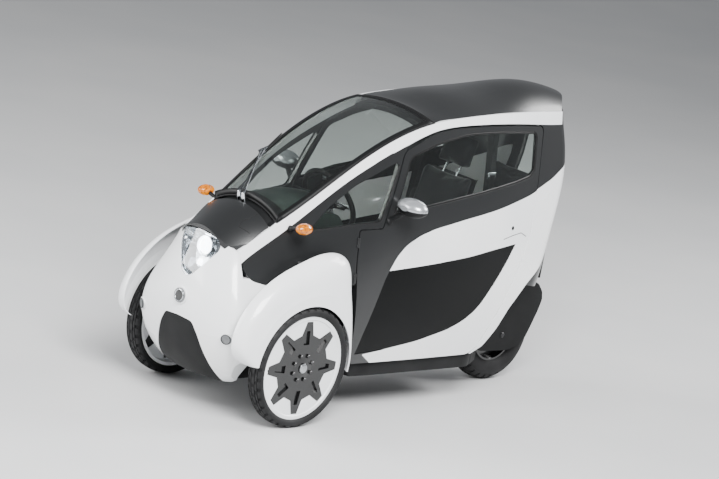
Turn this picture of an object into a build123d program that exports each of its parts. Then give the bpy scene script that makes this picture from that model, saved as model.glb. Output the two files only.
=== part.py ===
"""Three-wheeled, tilting, two-seat city car: two wheels in front, one steered wheel behind.

Frame: +X to the nose, +Y to the left, +Z up, origin on the floor under the middle. Lengths are mm.
Outlines are shares: x of the length, y of the width, z of the height, then how far a corner is eased.
"""
from build123d import *
from math import cos, radians, sin, sqrt, tan
import os

os.makedirs("parts", exist_ok=True)

# Driving dimensions
length = 2345.0
width = 870.0
height = 1455.0
front_axle_x = 770.0
wheelbase = 1700.0
overrun = 40.0

# Running gaps and seams
seat_gap = 0.3
panel_seam = 6.0
fixed_seam = 0.3
moving_gap = 6.0

# Walls
body_wall = 28.0
tail_wall = 24.0
nose_wall = 22.0
roof_wall = 20.0
bonnet_wall = 18.0
glass_wall = 5.0
glass_inset = 4.0
lower_panel_inset = 3.0
lower_panel_wall = 20.0
rail_wall = 36.0

# Front wheels, tyres of 80 section on a 16 inch rim
front_tyre_r = 275.0
front_tyre_w = 80.0
front_rim_r = 236.0
front_rim_w = 60.0
front_star_r = 212.0
front_star_count = 8
front_hub_r = 92.0
front_hub_back = 46.0
front_cap_r = 24.0
front_cap_t = 4.0
front_disc_t = 9.0
front_ring_t = 7.0

# Rear wheel, tyre of 120 section on a 10 inch rim
rear_tyre_r = 235.0
rear_tyre_w = 120.0
rear_rim_r = 140.0
rear_rim_w = 86.0
rear_hub_r = 74.0
rear_disc_t = 14.0

# Front suspension: leading arms hinged behind the wheels, hung from a tilting yoke
arm_reach = 360.0
arm_t = 22.0
arm_h = 56.0
arm_gap = 12.0
stub_r = 12.0
pivot_r = 26.0
pivot_t = 52.0
link_r = 10.0
yoke_r = 20.0
yoke_z = 540.0
link_foot_back = 90.0

# Rear fork and fender, turning together about the steering axis
rear_fender_gap = 9.0
rear_fender_wall = 5.0
fork_t = 12.0
fork_h = 52.0
fork_gap = 8.0
fork_crown_t = 18.0
head_r = 32.0
head_h = 64.0
rear_stub_r = 12.0

# Front fenders
fender_gap = 9.0
fender_wall = 5.0

# Floor pan
floor_low_z = 168.0
floor_sill_z = 226.0
floor_top_z = 320.0
floor_t = 12.0
pan_wall = 14.0
pan_half_y = 262.0
sill_half_y = 298.0
nose_box_half_y = 205.0

rear_axle_x = front_axle_x - wheelbase
front_wheel_y = (width - front_tyre_w) / 2
tyre_inner_y = front_wheel_y - front_tyre_w / 2
pivot_x = front_axle_x - arm_reach
WHEEL_SIDES = {"left": 1, "right": -1}


def px(share):
    return share * length


def py(share):
    return share * width


def pz(share):
    return share * height


def place(plane, a, b):
    """A point of a side, front or plan outline, in space."""
    return {"side": Vector(a, 0, b), "front": Vector(0, a, b), "plan": Vector(a, b, 0)}[plane]


def rounded_wire(points, plane):
    """Closed outline of straight runs, each corner eased by an arc that takes a share of its runs."""
    count = len(points)
    spots = [place(plane, a, b) for a, b, _ in points]
    starts, arcs, ends = [], [], []
    for i, (_, _, ease_share) in enumerate(points):
        here, before, after = spots[i], spots[i - 1], spots[(i + 1) % count]
        to_before, to_after = before - here, after - here
        turn = 180 - to_before.get_angle(to_after)
        run = min(to_before.length, to_after.length) / 2 * ease_share
        if ease_share == 0 or turn < 1:
            starts.append(here)
            ends.append(here)
            arcs.append(None)
            continue
        first = here + to_before.normalized() * run
        last = here + to_after.normalized() * run
        chord_middle = (first + last) / 2
        rise = run * cos(radians(turn / 2)) * tan(radians(turn / 4))
        middle = chord_middle + (here - chord_middle).normalized() * rise
        starts.append(first)
        ends.append(last)
        arcs.append(ThreePointArc(first, middle, last))
    loop = []
    for i in range(count):
        if arcs[i]:
            loop.append(arcs[i])
        if (ends[i] - starts[(i + 1) % count]).length > 1e-3:
            loop.append(Line(ends[i], starts[(i + 1) % count]))
    return Wire(loop)


def side_prism(shares, y_low=-width, y_high=width, grow=0.0):
    """Solid between two y places whose side view is the outline (x, z, ease), grown by a seam."""
    face = Face(rounded_wire([(px(x), pz(z), ease) for x, z, ease in shares], "side"))
    if grow:
        face = offset(face, amount=grow, kind=Kind.INTERSECTION)
    return Pos(0, y_low, 0) * extrude(face, amount=y_high - y_low, dir=(0, 1, 0))


def front_prism(shares, x_low, x_high):
    """Solid between two x places whose front view is the outline (y, z, ease)."""
    wire = rounded_wire([(py(y), pz(z), ease) for y, z, ease in shares], "front")
    return Pos(x_low, 0, 0) * extrude(Face(wire), amount=x_high - x_low, dir=(1, 0, 0))


def plan_prism(shares, z_low, z_high):
    """Solid between two levels whose plan is the outline (x, y, ease)."""
    wire = rounded_wire([(px(x), py(y), ease) for x, y, ease in shares], "plan")
    return Pos(0, 0, z_low) * extrude(Face(wire), amount=z_high - z_low, dir=(0, 0, 1))


def mirrored(shares):
    """Both halves of an outline given for one side of the middle line, as (y, z, ease)."""
    return list(shares) + [(-y, z, ease) for y, z, ease in reversed(shares) if y != 0]


def block(x_low, x_high, y_low, y_high, z_low, z_high):
    size = (x_high - x_low, y_high - y_low, z_high - z_low)
    middle = ((x_high + x_low) / 2, (y_high + y_low) / 2, (z_high + z_low) / 2)
    return Pos(*middle) * Box(*size)


def drum(x, y_low, y_high, z, radius):
    """Round solid lying across the car."""
    return Pos(x, (y_low + y_high) / 2, z) * Rot(90, 0, 0) * Cylinder(radius, y_high - y_low)


def rod(start, end, radius):
    """Round bar between two points."""
    run = end - start
    plane = Plane(origin=start, z_dir=run.normalized())
    return extrude(plane * Circle(radius), amount=run.length)


def other_side(piece):
    return piece.mirror(Plane.XZ)


def both_sides(piece):
    """The piece and its mirror image as two solids of one node."""
    return Compound(children=[*piece.solids(), *other_side(piece).solids()])


def largest(piece):
    return sorted(piece.solids(), key=lambda solid: solid.volume)[-1]


def keep(name, piece):
    """Write one node as a STEP file."""
    solids = piece.solids()
    export_step(solids[0] if len(solids) == 1 else Compound(children=list(solids)), f"parts/{name}.step")


# Body form: plan sections at levels up the body, made of tangent arcs
# columns: level z, nose x, nose radius, nose corner radius, widest place x, half width y,
# side radius, tail x, tail radius, tail corner radius; radii follow the width, the side's the length
BODY_LEVEL_SHARES = (
    (0.1031, 0.4456, 0.5172, 0.0690, 0.0000, 0.2874, 3.8380, -0.3369, 0.4598, 0.1034),
    (0.1512, 0.4691, 0.7471, 0.0862, 0.0426, 0.3563, 6.3966, -0.3625, 0.4368, 0.1264),
    (0.2749, 0.4955, 1.0345, 0.0977, 0.0853, 0.3885, 8.5288, -0.4030, 0.4207, 0.1379),
    (0.4261, 0.4930, 0.4828, 0.1034, -0.0341, 0.4034, 2.5586, -0.4414, 0.3793, 0.1379),
    (0.5361, 0.4776, 0.3103, 0.0862, -0.0512, 0.4023, 1.7058, -0.4529, 0.3563, 0.1379),
    (0.6873, 0.4691, 0.2989, 0.0805, -0.0554, 0.3690, 1.5778, -0.4674, 0.3310, 0.1264),
    (0.8729, 0.4606, 0.2874, 0.0805, -0.0640, 0.3080, 1.5352, -0.4486, 0.3161, 0.1149),
    (0.9622, 0.4606, 0.2874, 0.0805, -0.0682, 0.2759, 1.5352, -0.4401, 0.3103, 0.1034),
)


def meet(center_a, dist_a, center_b, dist_b, tail):
    """Meeting point of two circles, the one nearer to the tail or to the nose."""
    span = center_b - center_a
    along = (dist_a ** 2 - dist_b ** 2 + span.length ** 2) / (2 * span.length)
    rise = sqrt(dist_a ** 2 - along ** 2)
    unit = span.normalized()
    normal = Vector(-unit.Y, unit.X, 0)
    first, second = center_a + unit * along + normal * rise, center_a + unit * along - normal * rise
    return first if (first.X < second.X) == tail else second


def toward(center, target, radius):
    return center + (target - center).normalized() * radius


def halfway(center, radius, one, other):
    return center + ((one - center).normalized() + (other - center).normalized()).normalized() * radius


def side_curve(level, inset, x_start, x_end):
    """Start, middle and end of the left side arc at one level."""
    z, _, _, _, wide_x, half_y, side_r, _, _, _ = level
    center = Vector(px(wide_x), py(half_y) - px(side_r), pz(z))
    radius = px(side_r) - inset
    spots = [Vector(x, center.Y + sqrt(radius ** 2 - (x - center.X) ** 2), center.Z)
             for x in (x_start, (x_start + x_end) / 2, x_end)]
    return spots


def end_curve(level, inset, x_start, tail):
    """The path from the left side round the nose or the tail to the right side, as arc points."""
    z, nose_x, nose_r, nose_corner, wide_x, half_y, side_r, tail_x, tail_r, tail_corner = level
    end_r, corner = (tail_r, tail_corner) if tail else (nose_r, nose_corner)
    end_r, corner, side_r = py(end_r), py(corner), px(side_r)
    end_x = px(tail_x) + inset if tail else px(nose_x) - inset
    end_c = Vector(px(tail_x) + end_r if tail else px(nose_x) - end_r, 0, pz(z))
    side_c = Vector(px(wide_x), py(half_y) - side_r, pz(z))
    corner_c = meet(end_c, end_r - corner, side_c, side_r - corner, tail)
    corner_c = Vector(corner_c.X, corner_c.Y, pz(z))
    bend_end = toward(end_c, corner_c, end_r - inset)
    bend_start = toward(side_c, corner_c, side_r - inset)
    start = Vector(x_start, side_c.Y + sqrt((side_r - inset) ** 2 - (x_start - side_c.X) ** 2), pz(z))
    left = [start, halfway(side_c, side_r - inset, start, bend_start), bend_start,
            halfway(corner_c, corner - inset, bend_start, bend_end), bend_end]
    right = [Vector(p.X, -p.Y, p.Z) for p in reversed(left)]
    return left + [Vector(end_x, 0, pz(z))] + right


def arcs_through(spots):
    return [ThreePointArc(*spots[i:i + 3]) for i in range(0, len(spots) - 1, 2)]


def strip(outer_path, inner_path):
    """Closed section between two paths of arcs that run the same way."""
    back = list(reversed(inner_path))
    edges = arcs_through(outer_path) + [Line(outer_path[-1], back[0])]
    return Wire(edges + arcs_through(back) + [Line(back[-1], outer_path[0])])


SIDE_SPAN_SHARES = (0.452, -0.432)
SIDE_LEVELS = BODY_LEVEL_SHARES[1:5] + BODY_LEVEL_SHARES[6:]
NOSE_LEVELS = BODY_LEVEL_SHARES[:6]
TAIL_LEVELS = BODY_LEVEL_SHARES[1:]


def side_wall(inset, wall):
    """Left flank of the body as a wall of one thickness."""
    front, back = px(SIDE_SPAN_SHARES[0]), px(SIDE_SPAN_SHARES[1])
    return Solid.make_loft([strip(side_curve(level, inset, front, back),
                                  side_curve(level, inset + wall, front, back)) for level in SIDE_LEVELS])


def end_wall(inset, wall, x_start, tail):
    """Nose or tail of the body as a wall of one thickness that wraps round from side to side."""
    levels = TAIL_LEVELS if tail else NOSE_LEVELS
    return Solid.make_loft([strip(end_curve(level, inset, x_start, tail),
                                  end_curve(level, inset + wall, x_start, tail)) for level in levels])


# Side rails: white ribbons from the nose up the screen and back along the roof
# columns: place x, lower y, lower z, upper y, upper z
RAIL_STATION_SHARES = (
    (0.4461, 0.2391, 0.4811, 0.2138, 0.5141), (0.3991, 0.2437, 0.5320, 0.2253, 0.5691),
    (0.3139, 0.2667, 0.6254, 0.2552, 0.6598), (0.2000, 0.2920, 0.7526, 0.2782, 0.7842),
    (0.0704, 0.3023, 0.8509, 0.2874, 0.8845), (0.0038, 0.3011, 0.8880, 0.2885, 0.9120),
    (-0.0644, 0.2966, 0.9024, 0.2862, 0.9258), (-0.1539, 0.2897, 0.9058, 0.2782, 0.9347),
    (-0.2516, 0.2690, 0.9017, 0.2552, 0.9368), (-0.3424, 0.2368, 0.8921, 0.2218, 0.9326),
    (-0.4060, 0.2069, 0.8866, 0.1931, 0.9271),
)


def rail_section(station):
    x, low_y, low_z, high_y, high_z = station
    x, low, high = px(x), Vector(0, py(low_y), pz(low_z)), Vector(0, py(high_y), pz(high_z))
    inward = Vector(0, -rail_wall, 0)
    corners = [low, high, high + inward, low + inward]
    corners = [Vector(x, spot.Y, spot.Z) for spot in corners]
    return Wire([Line(corners[i], corners[(i + 1) % 4]) for i in range(4)])


side_rail = Solid.make_loft([rail_section(station) for station in RAIL_STATION_SHARES])
side_rails = both_sides(side_rail)

# Top skins: arches across the body between the rails
# columns: place x, edge half width y, edge z, crown z
BONNET_STATION_SHARES = (
    (0.4904, 0.1724, 0.5086, 0.0467), (0.4461, 0.2069, 0.5168, 0.0632),
    (0.4094, 0.2172, 0.5601, 0.0509), (0.3701, 0.2310, 0.5993, 0.0426),
)
SCREEN_STATION_SHARES = (
    (0.3676, 0.2322, 0.6034, 0.0412), (0.3139, 0.2506, 0.6619, 0.0302),
    (0.2000, 0.2736, 0.7863, 0.0206), (0.0704, 0.2828, 0.8866, 0.0192),
    (0.0060, 0.2839, 0.9127, 0.0220),
)
ROOF_STATION_SHARES = (
    (0.0034, 0.2805, 0.9120, 0.0220), (-0.0644, 0.2793, 0.9258, 0.0289),
    (-0.1539, 0.2713, 0.9347, 0.0392), (-0.2516, 0.2483, 0.9368, 0.0529),
    (-0.3424, 0.2149, 0.9326, 0.0674), (-0.3945, 0.1966, 0.9278, 0.0632),
    (-0.4392, 0.1966, 0.9168, 0.0591), (-0.4853, 0.1966, 0.8935, 0.0550),
)


def arch_section(station, wall):
    """Arch of one thickness across the body."""
    x, edge_y, edge_z, crown = station
    edge_y, edge_z, crown = py(edge_y), pz(edge_z), pz(crown)
    arch_r = (edge_y ** 2 + crown ** 2) / (2 * crown)
    center = Vector(px(x), 0, edge_z + crown - arch_r)
    inner_r = arch_r - wall
    share = inner_r / arch_r
    lower_edge = Vector(px(x), edge_y * share, center.Z + (edge_z - center.Z) * share)
    over = [Vector(px(x), edge_y, edge_z), Vector(px(x), 0, edge_z + crown), Vector(px(x), -edge_y, edge_z)]
    under = [lower_edge, Vector(px(x), 0, edge_z + crown - wall),
             Vector(px(x), -lower_edge.Y, lower_edge.Z)]
    return strip(over, under)


def arch_skin(stations, wall):
    return Solid.make_loft([arch_section(station, wall) for station in stations])


bonnet = arch_skin(BONNET_STATION_SHARES, bonnet_wall)
BONNET_PLAN_SHARES = (
    (0.3846, -0.2529, 0), (0.3846, 0.2529, 0), (0.4264, 0.2529, 0), (0.4307, 0.2069, 0.4),
    (0.4627, 0.1724, 0.8), (0.4768, 0.1092, 0.8), (0.4742, 0.0000, 0.8), (0.4768, -0.1092, 0.8),
    (0.4627, -0.1724, 0.8), (0.4307, -0.2069, 0.4), (0.4264, -0.2529, 0),
)
bonnet = largest((bonnet & plan_prism(BONNET_PLAN_SHARES, 0, height)) - side_rails)
windscreen = largest(arch_skin(SCREEN_STATION_SHARES, glass_wall) - side_rails)
roof_panel = arch_skin(ROOF_STATION_SHARES, roof_wall)
ROOF_PLAN_SHARES = (
    (0.0085, -0.2989, 0), (0.0085, 0.2989, 0), (-0.3991, 0.2989, 0), (-0.4026, 0.1908, 0.3),
    (-0.4461, 0.0736, 0.6), (-0.4461, -0.0736, 0.6), (-0.4026, -0.1908, 0.3), (-0.3991, -0.2989, 0),
)
roof_panel = largest((roof_panel & plan_prism(ROOF_PLAN_SHARES, 0, height + overrun)) - side_rails)

# Screen frame: the cowl under the foot of the glass and the header under its top edge
COWL_STATION_SHARES = (
    (0.3932, 0.2207, 0.5636, 0.0454), (0.3693, 0.2276, 0.5883, 0.0412),
    (0.3412, 0.2345, 0.6186, 0.0344),
)
cowl_t = 26.0
header_t = 24.0
HEADER_STATION_SHARES = (
    (0.0171, 0.2552, 0.8900, 0.0234), (0.0000, 0.2552, 0.8962, 0.0247),
    (-0.0188, 0.2552, 0.9017, 0.0261),
)
windscreen_frame = Compound(children=[
    largest(arch_skin(COWL_STATION_SHARES, cowl_t) - side_rails - bonnet - windscreen),
    largest(arch_skin(HEADER_STATION_SHARES, header_t) - side_rails - windscreen - roof_panel)])

# Flank panels, cut from the side wall
QUARTER_GLASS_SHARES = (
    (0.3011, 0.5814, 0.5), (0.2559, 0.6598, 0.2), (0.2000, 0.7251, 0.3), (0.1041, 0.7959, 0.4),
    (0.0938, 0.7876, 0.3), (0.1339, 0.6137, 0.3), (0.1932, 0.6048, 0.4), (0.2529, 0.5911, 0.5),
)
FRONT_PANEL_SHARES = (
    (0.4478, 0.4770, 0.8), (0.3991, 0.5333, 0.3), (0.3139, 0.6282, 0.3), (0.2576, 0.6928, 0.3),
    (0.2000, 0.7560, 0.3), (0.1326, 0.8096, 0.3), (0.0768, 0.8509, 0), (0.0768, 0.5842, 0),
    (0.1834, 0.5842, 0), (0.1834, 0.4206, 0), (0.2644, 0.4179, 0.5), (0.3928, 0.4206, 0.5),
    (0.4311, 0.4344, 0.8),
)
DOOR_SHARES = (
    (0.0810, 0.8275, 0.3), (0.0038, 0.8811, 0.4), (-0.0644, 0.8962, 0.4), (-0.1539, 0.8997, 0.4),
    (-0.2516, 0.8955, 0.4), (-0.3377, 0.8866, 0.3), (-0.3284, 0.7457, 0.3), (-0.3134, 0.5498, 0.4),
    (-0.2559, 0.3299, 0.4), (-0.2038, 0.1608, 0.4), (0.1535, 0.1608, 0.3), (0.1586, 0.2062, 0.3),
    (0.1706, 0.3436, 0.3), (0.1825, 0.4811, 0.3), (0.1825, 0.5883, 0.2), (0.1271, 0.5924, 0.2),
)
WINDOW_SHARES = (
    (0.0682, 0.8151, 0.3), (-0.0090, 0.8577, 0.5), (-0.0934, 0.8825, 0.5), (-0.1855, 0.8845, 0.4),
    (-0.3177, 0.8742, 0.4), (-0.3130, 0.7491, 0.3), (-0.2964, 0.7292, 0.4), (-0.2448, 0.7155, 0.3),
    (-0.0742, 0.6790, 0.4), (0.0090, 0.6591, 0.4), (0.0866, 0.6330, 0.4), (0.1066, 0.6337, 0.4),
)
WHITE_BAND_SHARES = (
    (0.0981, 0.4625, 0.1), (0.0832, 0.5065, 0.7), (0.0623, 0.5423, 0.7), (0.0294, 0.5711, 0.6),
    (-0.0111, 0.5918, 0.5), (-0.0917, 0.6158, 0.4), (-0.1974, 0.6412, 0.5), (-0.3062, 0.6770, 0.4),
    (-0.3838, 0.7189, 0.4), (-0.4520, 0.7698, 0), (-0.4520, 0.1237, 0), (-0.2038, 0.1375, 0),
    (0.1215, 0.1375, 0), (0.0874, 0.1553, 0), (0.1237, 0.1918, 0.2), (0.0785, 0.2007, 0.4),
    (-0.0247, 0.2234, 0.5), (-0.1075, 0.2543, 0.6), (-0.1467, 0.2797, 0.6), (-0.1740, 0.3093, 0.6),
    (-0.1906, 0.3368, 0.5), (-0.2149, 0.3924, 0.4), (-0.2443, 0.4646, 0.4), (-0.2674, 0.5244, 0.1),
    (-0.1919, 0.5113, 0.4), (-0.1228, 0.4955, 0.4), (-0.0141, 0.4784, 0.4),
)
LOWER_PANEL_SHARES = (
    (0.0981, 0.4625, 0.1), (-0.0141, 0.4784, 0.4), (-0.1228, 0.4955, 0.4), (-0.1919, 0.5113, 0.4),
    (-0.2674, 0.5244, 0.1), (-0.2443, 0.4646, 0.4), (-0.2149, 0.3924, 0.4), (-0.1906, 0.3368, 0.5),
    (-0.1740, 0.3093, 0.6), (-0.1467, 0.2797, 0.6), (-0.1075, 0.2543, 0.6), (-0.0247, 0.2234, 0.5),
    (0.0785, 0.2007, 0.4), (0.1450, 0.1931, 0.1), (0.1377, 0.2584, 0.4), (0.1203, 0.3546, 0.4),
    (0.1058, 0.4344, 0.4),
)
QUARTER_SHARES = (
    (-0.2985, 0.6763, 0), (-0.2985, 0.5498, 0), (-0.2388, 0.3299, 0), (-0.2004, 0.1608, 0),
    (-0.2303, 0.1849, 0.5), (-0.2563, 0.2392, 0.4), (-0.2810, 0.3086, 0.4), (-0.3224, 0.3849, 0.4),
    (-0.3701, 0.4467, 0.4), (-0.4094, 0.5292, 0.4), (-0.4281, 0.6254, 0.4), (-0.4367, 0.7285, 0.3),
    (-0.4358, 0.7574, 0), (-0.3838, 0.7189, 0.4),
)

flank = side_wall(0, body_wall)
door_cut = side_prism(DOOR_SHARES, 0)
door_clear = side_prism(DOOR_SHARES, 0, grow=panel_seam)
window_cut = side_prism(WINDOW_SHARES, 0)
white_cut = side_prism(WHITE_BAND_SHARES, 0)
lower_cut = side_prism(LOWER_PANEL_SHARES, 0)

TAIL_START_SHARE = -0.155
tail_form = end_wall(0, tail_wall, px(TAIL_START_SHARE), True)

# Door hinge: pins on a line that lies in the skin at the door's front edge
hinge_x = 434.0
hinge_pin_r = 7.0
hinge_pin_t = 44.0
hinge_low, hinge_high = [side_curve(BODY_LEVEL_SHARES[i], 0, hinge_x, 0)[0] for i in (3, 4)]
hinge_run = (hinge_high - hinge_low).normalized()
hinge_feet = [hinge_low, hinge_high]


def hinge_barrels(radius):
    first, second = [rod(foot, foot + hinge_run * hinge_pin_t, radius) for foot in hinge_feet]
    return first + second


front_panel = (flank & side_prism(FRONT_PANEL_SHARES, 0)) - side_prism(QUARTER_GLASS_SHARES, 0)
front_panel = front_panel - door_clear - side_rails
front_panel = largest(largest(front_panel) + hinge_barrels(hinge_pin_r))
front_panels = both_sides(front_panel)
rear_quarter = largest((tail_form & side_prism(QUARTER_SHARES, 0)) - door_clear)
rear_quarters = both_sides(rear_quarter)

door_blank = flank & door_cut
door_skin = largest(door_blank & white_cut)
door_frame = largest(door_blank - white_cut - lower_cut - window_cut - hinge_barrels(hinge_pin_r + seat_gap))
door_lower = largest(side_wall(lower_panel_inset, lower_panel_wall) & lower_cut)
glass_wall_left = side_wall(glass_inset, glass_wall)
door_glass = largest(glass_wall_left & window_cut)
quarter_glass = largest(glass_wall_left & side_prism(QUARTER_GLASS_SHARES, 0))
quarter_glasses = both_sides(quarter_glass)

# Mirror: a stalk on the belt and a silver shell
mirror_half = (58.0, 80.0, 42.0)
MIRROR_SPOT_SHARES = (
    (0.1006, 0.4713, 0.6777),
)
STALK_FOOT_SHARES = (
    (0.1134, 0.3517, 0.6137),
)
stalk_r = 11.0
mirror_spot = [Vector(px(x), py(y), pz(z)) for x, y, z in MIRROR_SPOT_SHARES][0]
stalk_foot = [Vector(px(x), py(y), pz(z)) for x, y, z in STALK_FOOT_SHARES][0]
MIRROR_SECTION_SHARES = ((-0.5, 0.86), (-0.1, 1.0), (0.4, 0.92), (0.75, 0.66), (0.96, 0.28))
mirror_rings = []
for depth, spread in MIRROR_SECTION_SHARES:
    plane = Plane(origin=mirror_spot + Vector(depth * mirror_half[0], 0, 0), x_dir=(0, 1, 0), z_dir=(1, 0, 0))
    mirror_rings.append((plane * Ellipse(mirror_half[1] * spread, mirror_half[2] * spread)).wire())
mirror_shell = Solid.make_loft(mirror_rings)
door_mirror = mirror_shell + rod(stalk_foot, mirror_spot, stalk_r)
door_mirror = largest(door_mirror - door_frame - door_glass)

# Nose
nose_rear_x = 985.0
NOSE_SIDE_SHARES = (
    (0.4179, 0.0962, 0), (0.4145, 0.2062, 0.4), (0.4119, 0.2887, 0.4), (0.3795, 0.3230, 0.4),
    (0.3753, 0.4399, 0), (0.4462, 0.4399, 0), (0.4462, 0.5113, 0), (0.4819, 0.5581, 0.3),
    (0.5117, 0.5636, 0), (0.5117, 0.0962, 0),
)
NOSE_FRONT_SHARES = (
    (0.0000, 0.5498, 0), (0.0690, 0.5498, 0.4), (0.2138, 0.5120, 0.4), (0.2759, 0.4399, 0.5),
    (0.3793, 0.4124, 0.4), (0.3966, 0.3299, 0.5), (0.3885, 0.2062, 0.5), (0.3333, 0.1801, 0.5),
    (0.2816, 0.1306, 0.5), (0.2736, 0.1086, 0.3), (0.0000, 0.1086, 0),
)
LAMP_SHARES = (
    (0.0000, 0.5498, 0), (0.0713, 0.5498, 0.5), (0.1287, 0.5375, 0.8), (0.1402, 0.5052, 0.7),
    (0.0897, 0.4570, 0.6), (0.0391, 0.4158, 0.6), (0.0000, 0.4041, 0.6),
)
LOWER_NOSE_SHARES = (
    (0.0000, 0.2832, 0), (0.0966, 0.2790, 0.5), (0.1356, 0.2419, 0.5), (0.2253, 0.1045, 0.1),
    (0.0000, 0.1045, 0),
)
NOSE_START_SHARE = 0.362
nose_form = end_wall(0, nose_wall, px(NOSE_START_SHARE), False)
panel_clear = side_prism(FRONT_PANEL_SHARES, grow=fixed_seam)
nose_side = side_prism(NOSE_SIDE_SHARES)
nose_front = front_prism(mirrored(NOSE_FRONT_SHARES), 0, length)
lamp_cut = front_prism(mirrored(LAMP_SHARES), front_axle_x, length)
lower_nose_cut = front_prism(mirrored(LOWER_NOSE_SHARES), front_axle_x, length)
nose_shell = (nose_form & nose_side & nose_front) - lamp_cut - lower_nose_cut - panel_clear
nose_lower_panel = largest(end_wall(lower_panel_inset, nose_wall - lower_panel_inset, px(NOSE_START_SHARE), False)
                           & nose_side & lower_nose_cut)
lens_wall = 5.0
headlamp_lens = largest(end_wall(lower_panel_inset, lens_wall, px(NOSE_START_SHARE), False) & nose_side & lamp_cut)
lamp_depth = 60.0
headlamp_housing = largest(end_wall(lower_panel_inset + lens_wall + seat_gap, lamp_depth, px(NOSE_START_SHARE), False)
                           & nose_side & lamp_cut)

# Nose discs: two on the ears and a plain round badge in the middle
disc_r = 22.0
badge_r = 33.0
disc_t = 4.0
DISC_SPOT_SHARES = (
    (0.3138, 0.2598), (-0.3138, 0.2598), (0.0000, 0.3443),
)


def disc_core(spot_y, spot_z, rim):
    """Round bar along the car through one disc."""
    radius = (badge_r if spot_y == 0 else disc_r) + rim
    return Pos(nose_rear_x, py(spot_y), pz(spot_z)) * Rot(0, 90, 0) * Cylinder(
        radius, length, align=(Align.CENTER, Align.CENTER, Align.MIN))


boss_h = 5.0
boss_rim = 7.0
boss_skin = end_wall(-boss_h, boss_h + nose_wall / 2, px(NOSE_START_SHARE), False)
nose_shell = largest(nose_shell + [largest(boss_skin & disc_core(y, z, boss_rim)) for y, z in DISC_SPOT_SHARES])
disc_skin = end_wall(-boss_h - disc_t, disc_t - seat_gap, px(NOSE_START_SHARE), False)
nose_discs = Compound(children=[largest(disc_skin & disc_core(y, z, 0)) for y, z in DISC_SPOT_SHARES])
bonnet = largest(bonnet - nose_shell - lamp_cut)

# Tail: dark shell round the back, its window, lamps and bare plate panel
TAIL_SIDE_SHARES = (
    (-0.2985, 0.9003, 0), (-0.2985, 0.6735, 0), (-0.3249, 0.3821, 0), (-0.3838, 0.3656, 0.3),
    (-0.5117, 0.3656, 0), (-0.5117, 0.9278, 0), (-0.3945, 0.9278, 0), (-0.3838, 0.9003, 0),
)
REAR_WINDOW_SHARES = (
    (0.0000, 0.8522, 0), (0.1057, 0.8495, 0.6), (0.1287, 0.7698, 0.5), (0.1517, 0.6598, 0.5),
    (0.1287, 0.6186, 0.6), (0.0000, 0.6158, 0),
)
TAIL_LAMP_SHARES = (
    (0.1931, 0.5911, 0.6), (0.2138, 0.4811, 0.4), (0.1839, 0.4426, 0.6), (0.1471, 0.4742, 0.5),
    (0.1494, 0.5787, 0.5),
)
tail_side = side_prism(TAIL_SIDE_SHARES)
rear_window_cut = front_prism(mirrored(REAR_WINDOW_SHARES), -length, rear_axle_x)
tail_lamp_cut = front_prism(TAIL_LAMP_SHARES, -length, rear_axle_x)
tail_shell = (tail_form & tail_side) - rear_window_cut - tail_lamp_cut - other_side(tail_lamp_cut)
quarter_clear = side_prism(QUARTER_SHARES, grow=fixed_seam)
tail_shell = largest(tail_shell - quarter_clear - door_clear - other_side(door_clear) - side_rails - roof_panel)
rear_window = largest(end_wall(glass_inset, glass_wall, px(TAIL_START_SHARE), True) & rear_window_cut)
tail_lamp = largest(end_wall(0, tail_wall - lower_panel_inset, px(TAIL_START_SHARE), True) & tail_lamp_cut)
tail_lamps = both_sides(tail_lamp)

# Plate panel: hangs from the tail on its bracket, bare, with two screw holes
PLATE_BRACKET_SHARES = (
    (-0.4333, 0.4399, 0), (-0.4333, 0.3890, 0), (-0.4682, 0.3643, 0), (-0.4682, 0.4399, 0),
)
PLATE_SPAN_SHARES = (
    (-0.4716, 0.3533), (-0.4674, 0.4550),
)
plate_half_y = 105.0
plate_bracket_half_y = 32.0
plate_hole_r = 3.3
plate_hole_span = 140.0
plate_hole_drop = 30.0
(plate_back_x, plate_low_z), (plate_front_x, plate_top_z) = [(px(x), pz(z)) for x, z in PLATE_SPAN_SHARES]
plate_panel = block(plate_back_x, plate_front_x, -plate_half_y, plate_half_y, plate_low_z, plate_top_z)
plate_panel = plate_panel + side_prism(PLATE_BRACKET_SHARES, -plate_bracket_half_y, plate_bracket_half_y)
plate_hole = Rot(0, 90, 0) * Cylinder(plate_hole_r, length)
for hole_y in (-plate_hole_span / 2, plate_hole_span / 2):
    plate_panel = plate_panel - Pos(-length / 2, hole_y, plate_top_z - plate_hole_drop) * plate_hole
plate_panel = largest(plate_panel - tail_shell)

# Floor pan: a wide sill tray with a narrower tub on it, running forward between the wheels
PAN_PLAN_SHARES = (
    (-0.2729, 0.0000, 0), (-0.2729, 0.2299, 0.4), (-0.2217, 0.3080, 0.4), (0.1407, 0.3080, 0.2),
    (0.1407, 0.2356, 0), (0.4094, 0.2356, 0), (0.4094, 0.0000, 0),
)
SILL_PLAN_SHARES = (
    (-0.2729, 0.0000, 0), (-0.2729, 0.2069, 0.4), (-0.2047, 0.3356, 0.4), (0.0853, 0.3425, 0.2),
    (0.1356, 0.3356, 0.2), (0.1373, 0.2356, 0), (0.4094, 0.2356, 0), (0.4094, 0.0000, 0),
)
half_pan = plan_prism(PAN_PLAN_SHARES, floor_low_z, floor_top_z)
half_sill = plan_prism(SILL_PLAN_SHARES, floor_low_z, floor_sill_z)
half_tub = half_pan + half_sill
HOLLOW_PLAN_SHARES = (
    (-0.2670, 0.0000, 0), (-0.2670, 0.2161, 0.4), (-0.2200, 0.2920, 0.4), (0.1348, 0.2920, 0.2),
    (0.1348, 0.2195, 0), (0.4034, 0.2195, 0), (0.4034, 0.0000, 0),
)
half_tub = half_tub - plan_prism(HOLLOW_PLAN_SHARES, floor_low_z + floor_t, height)
deck_low_z = 528.0
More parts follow.
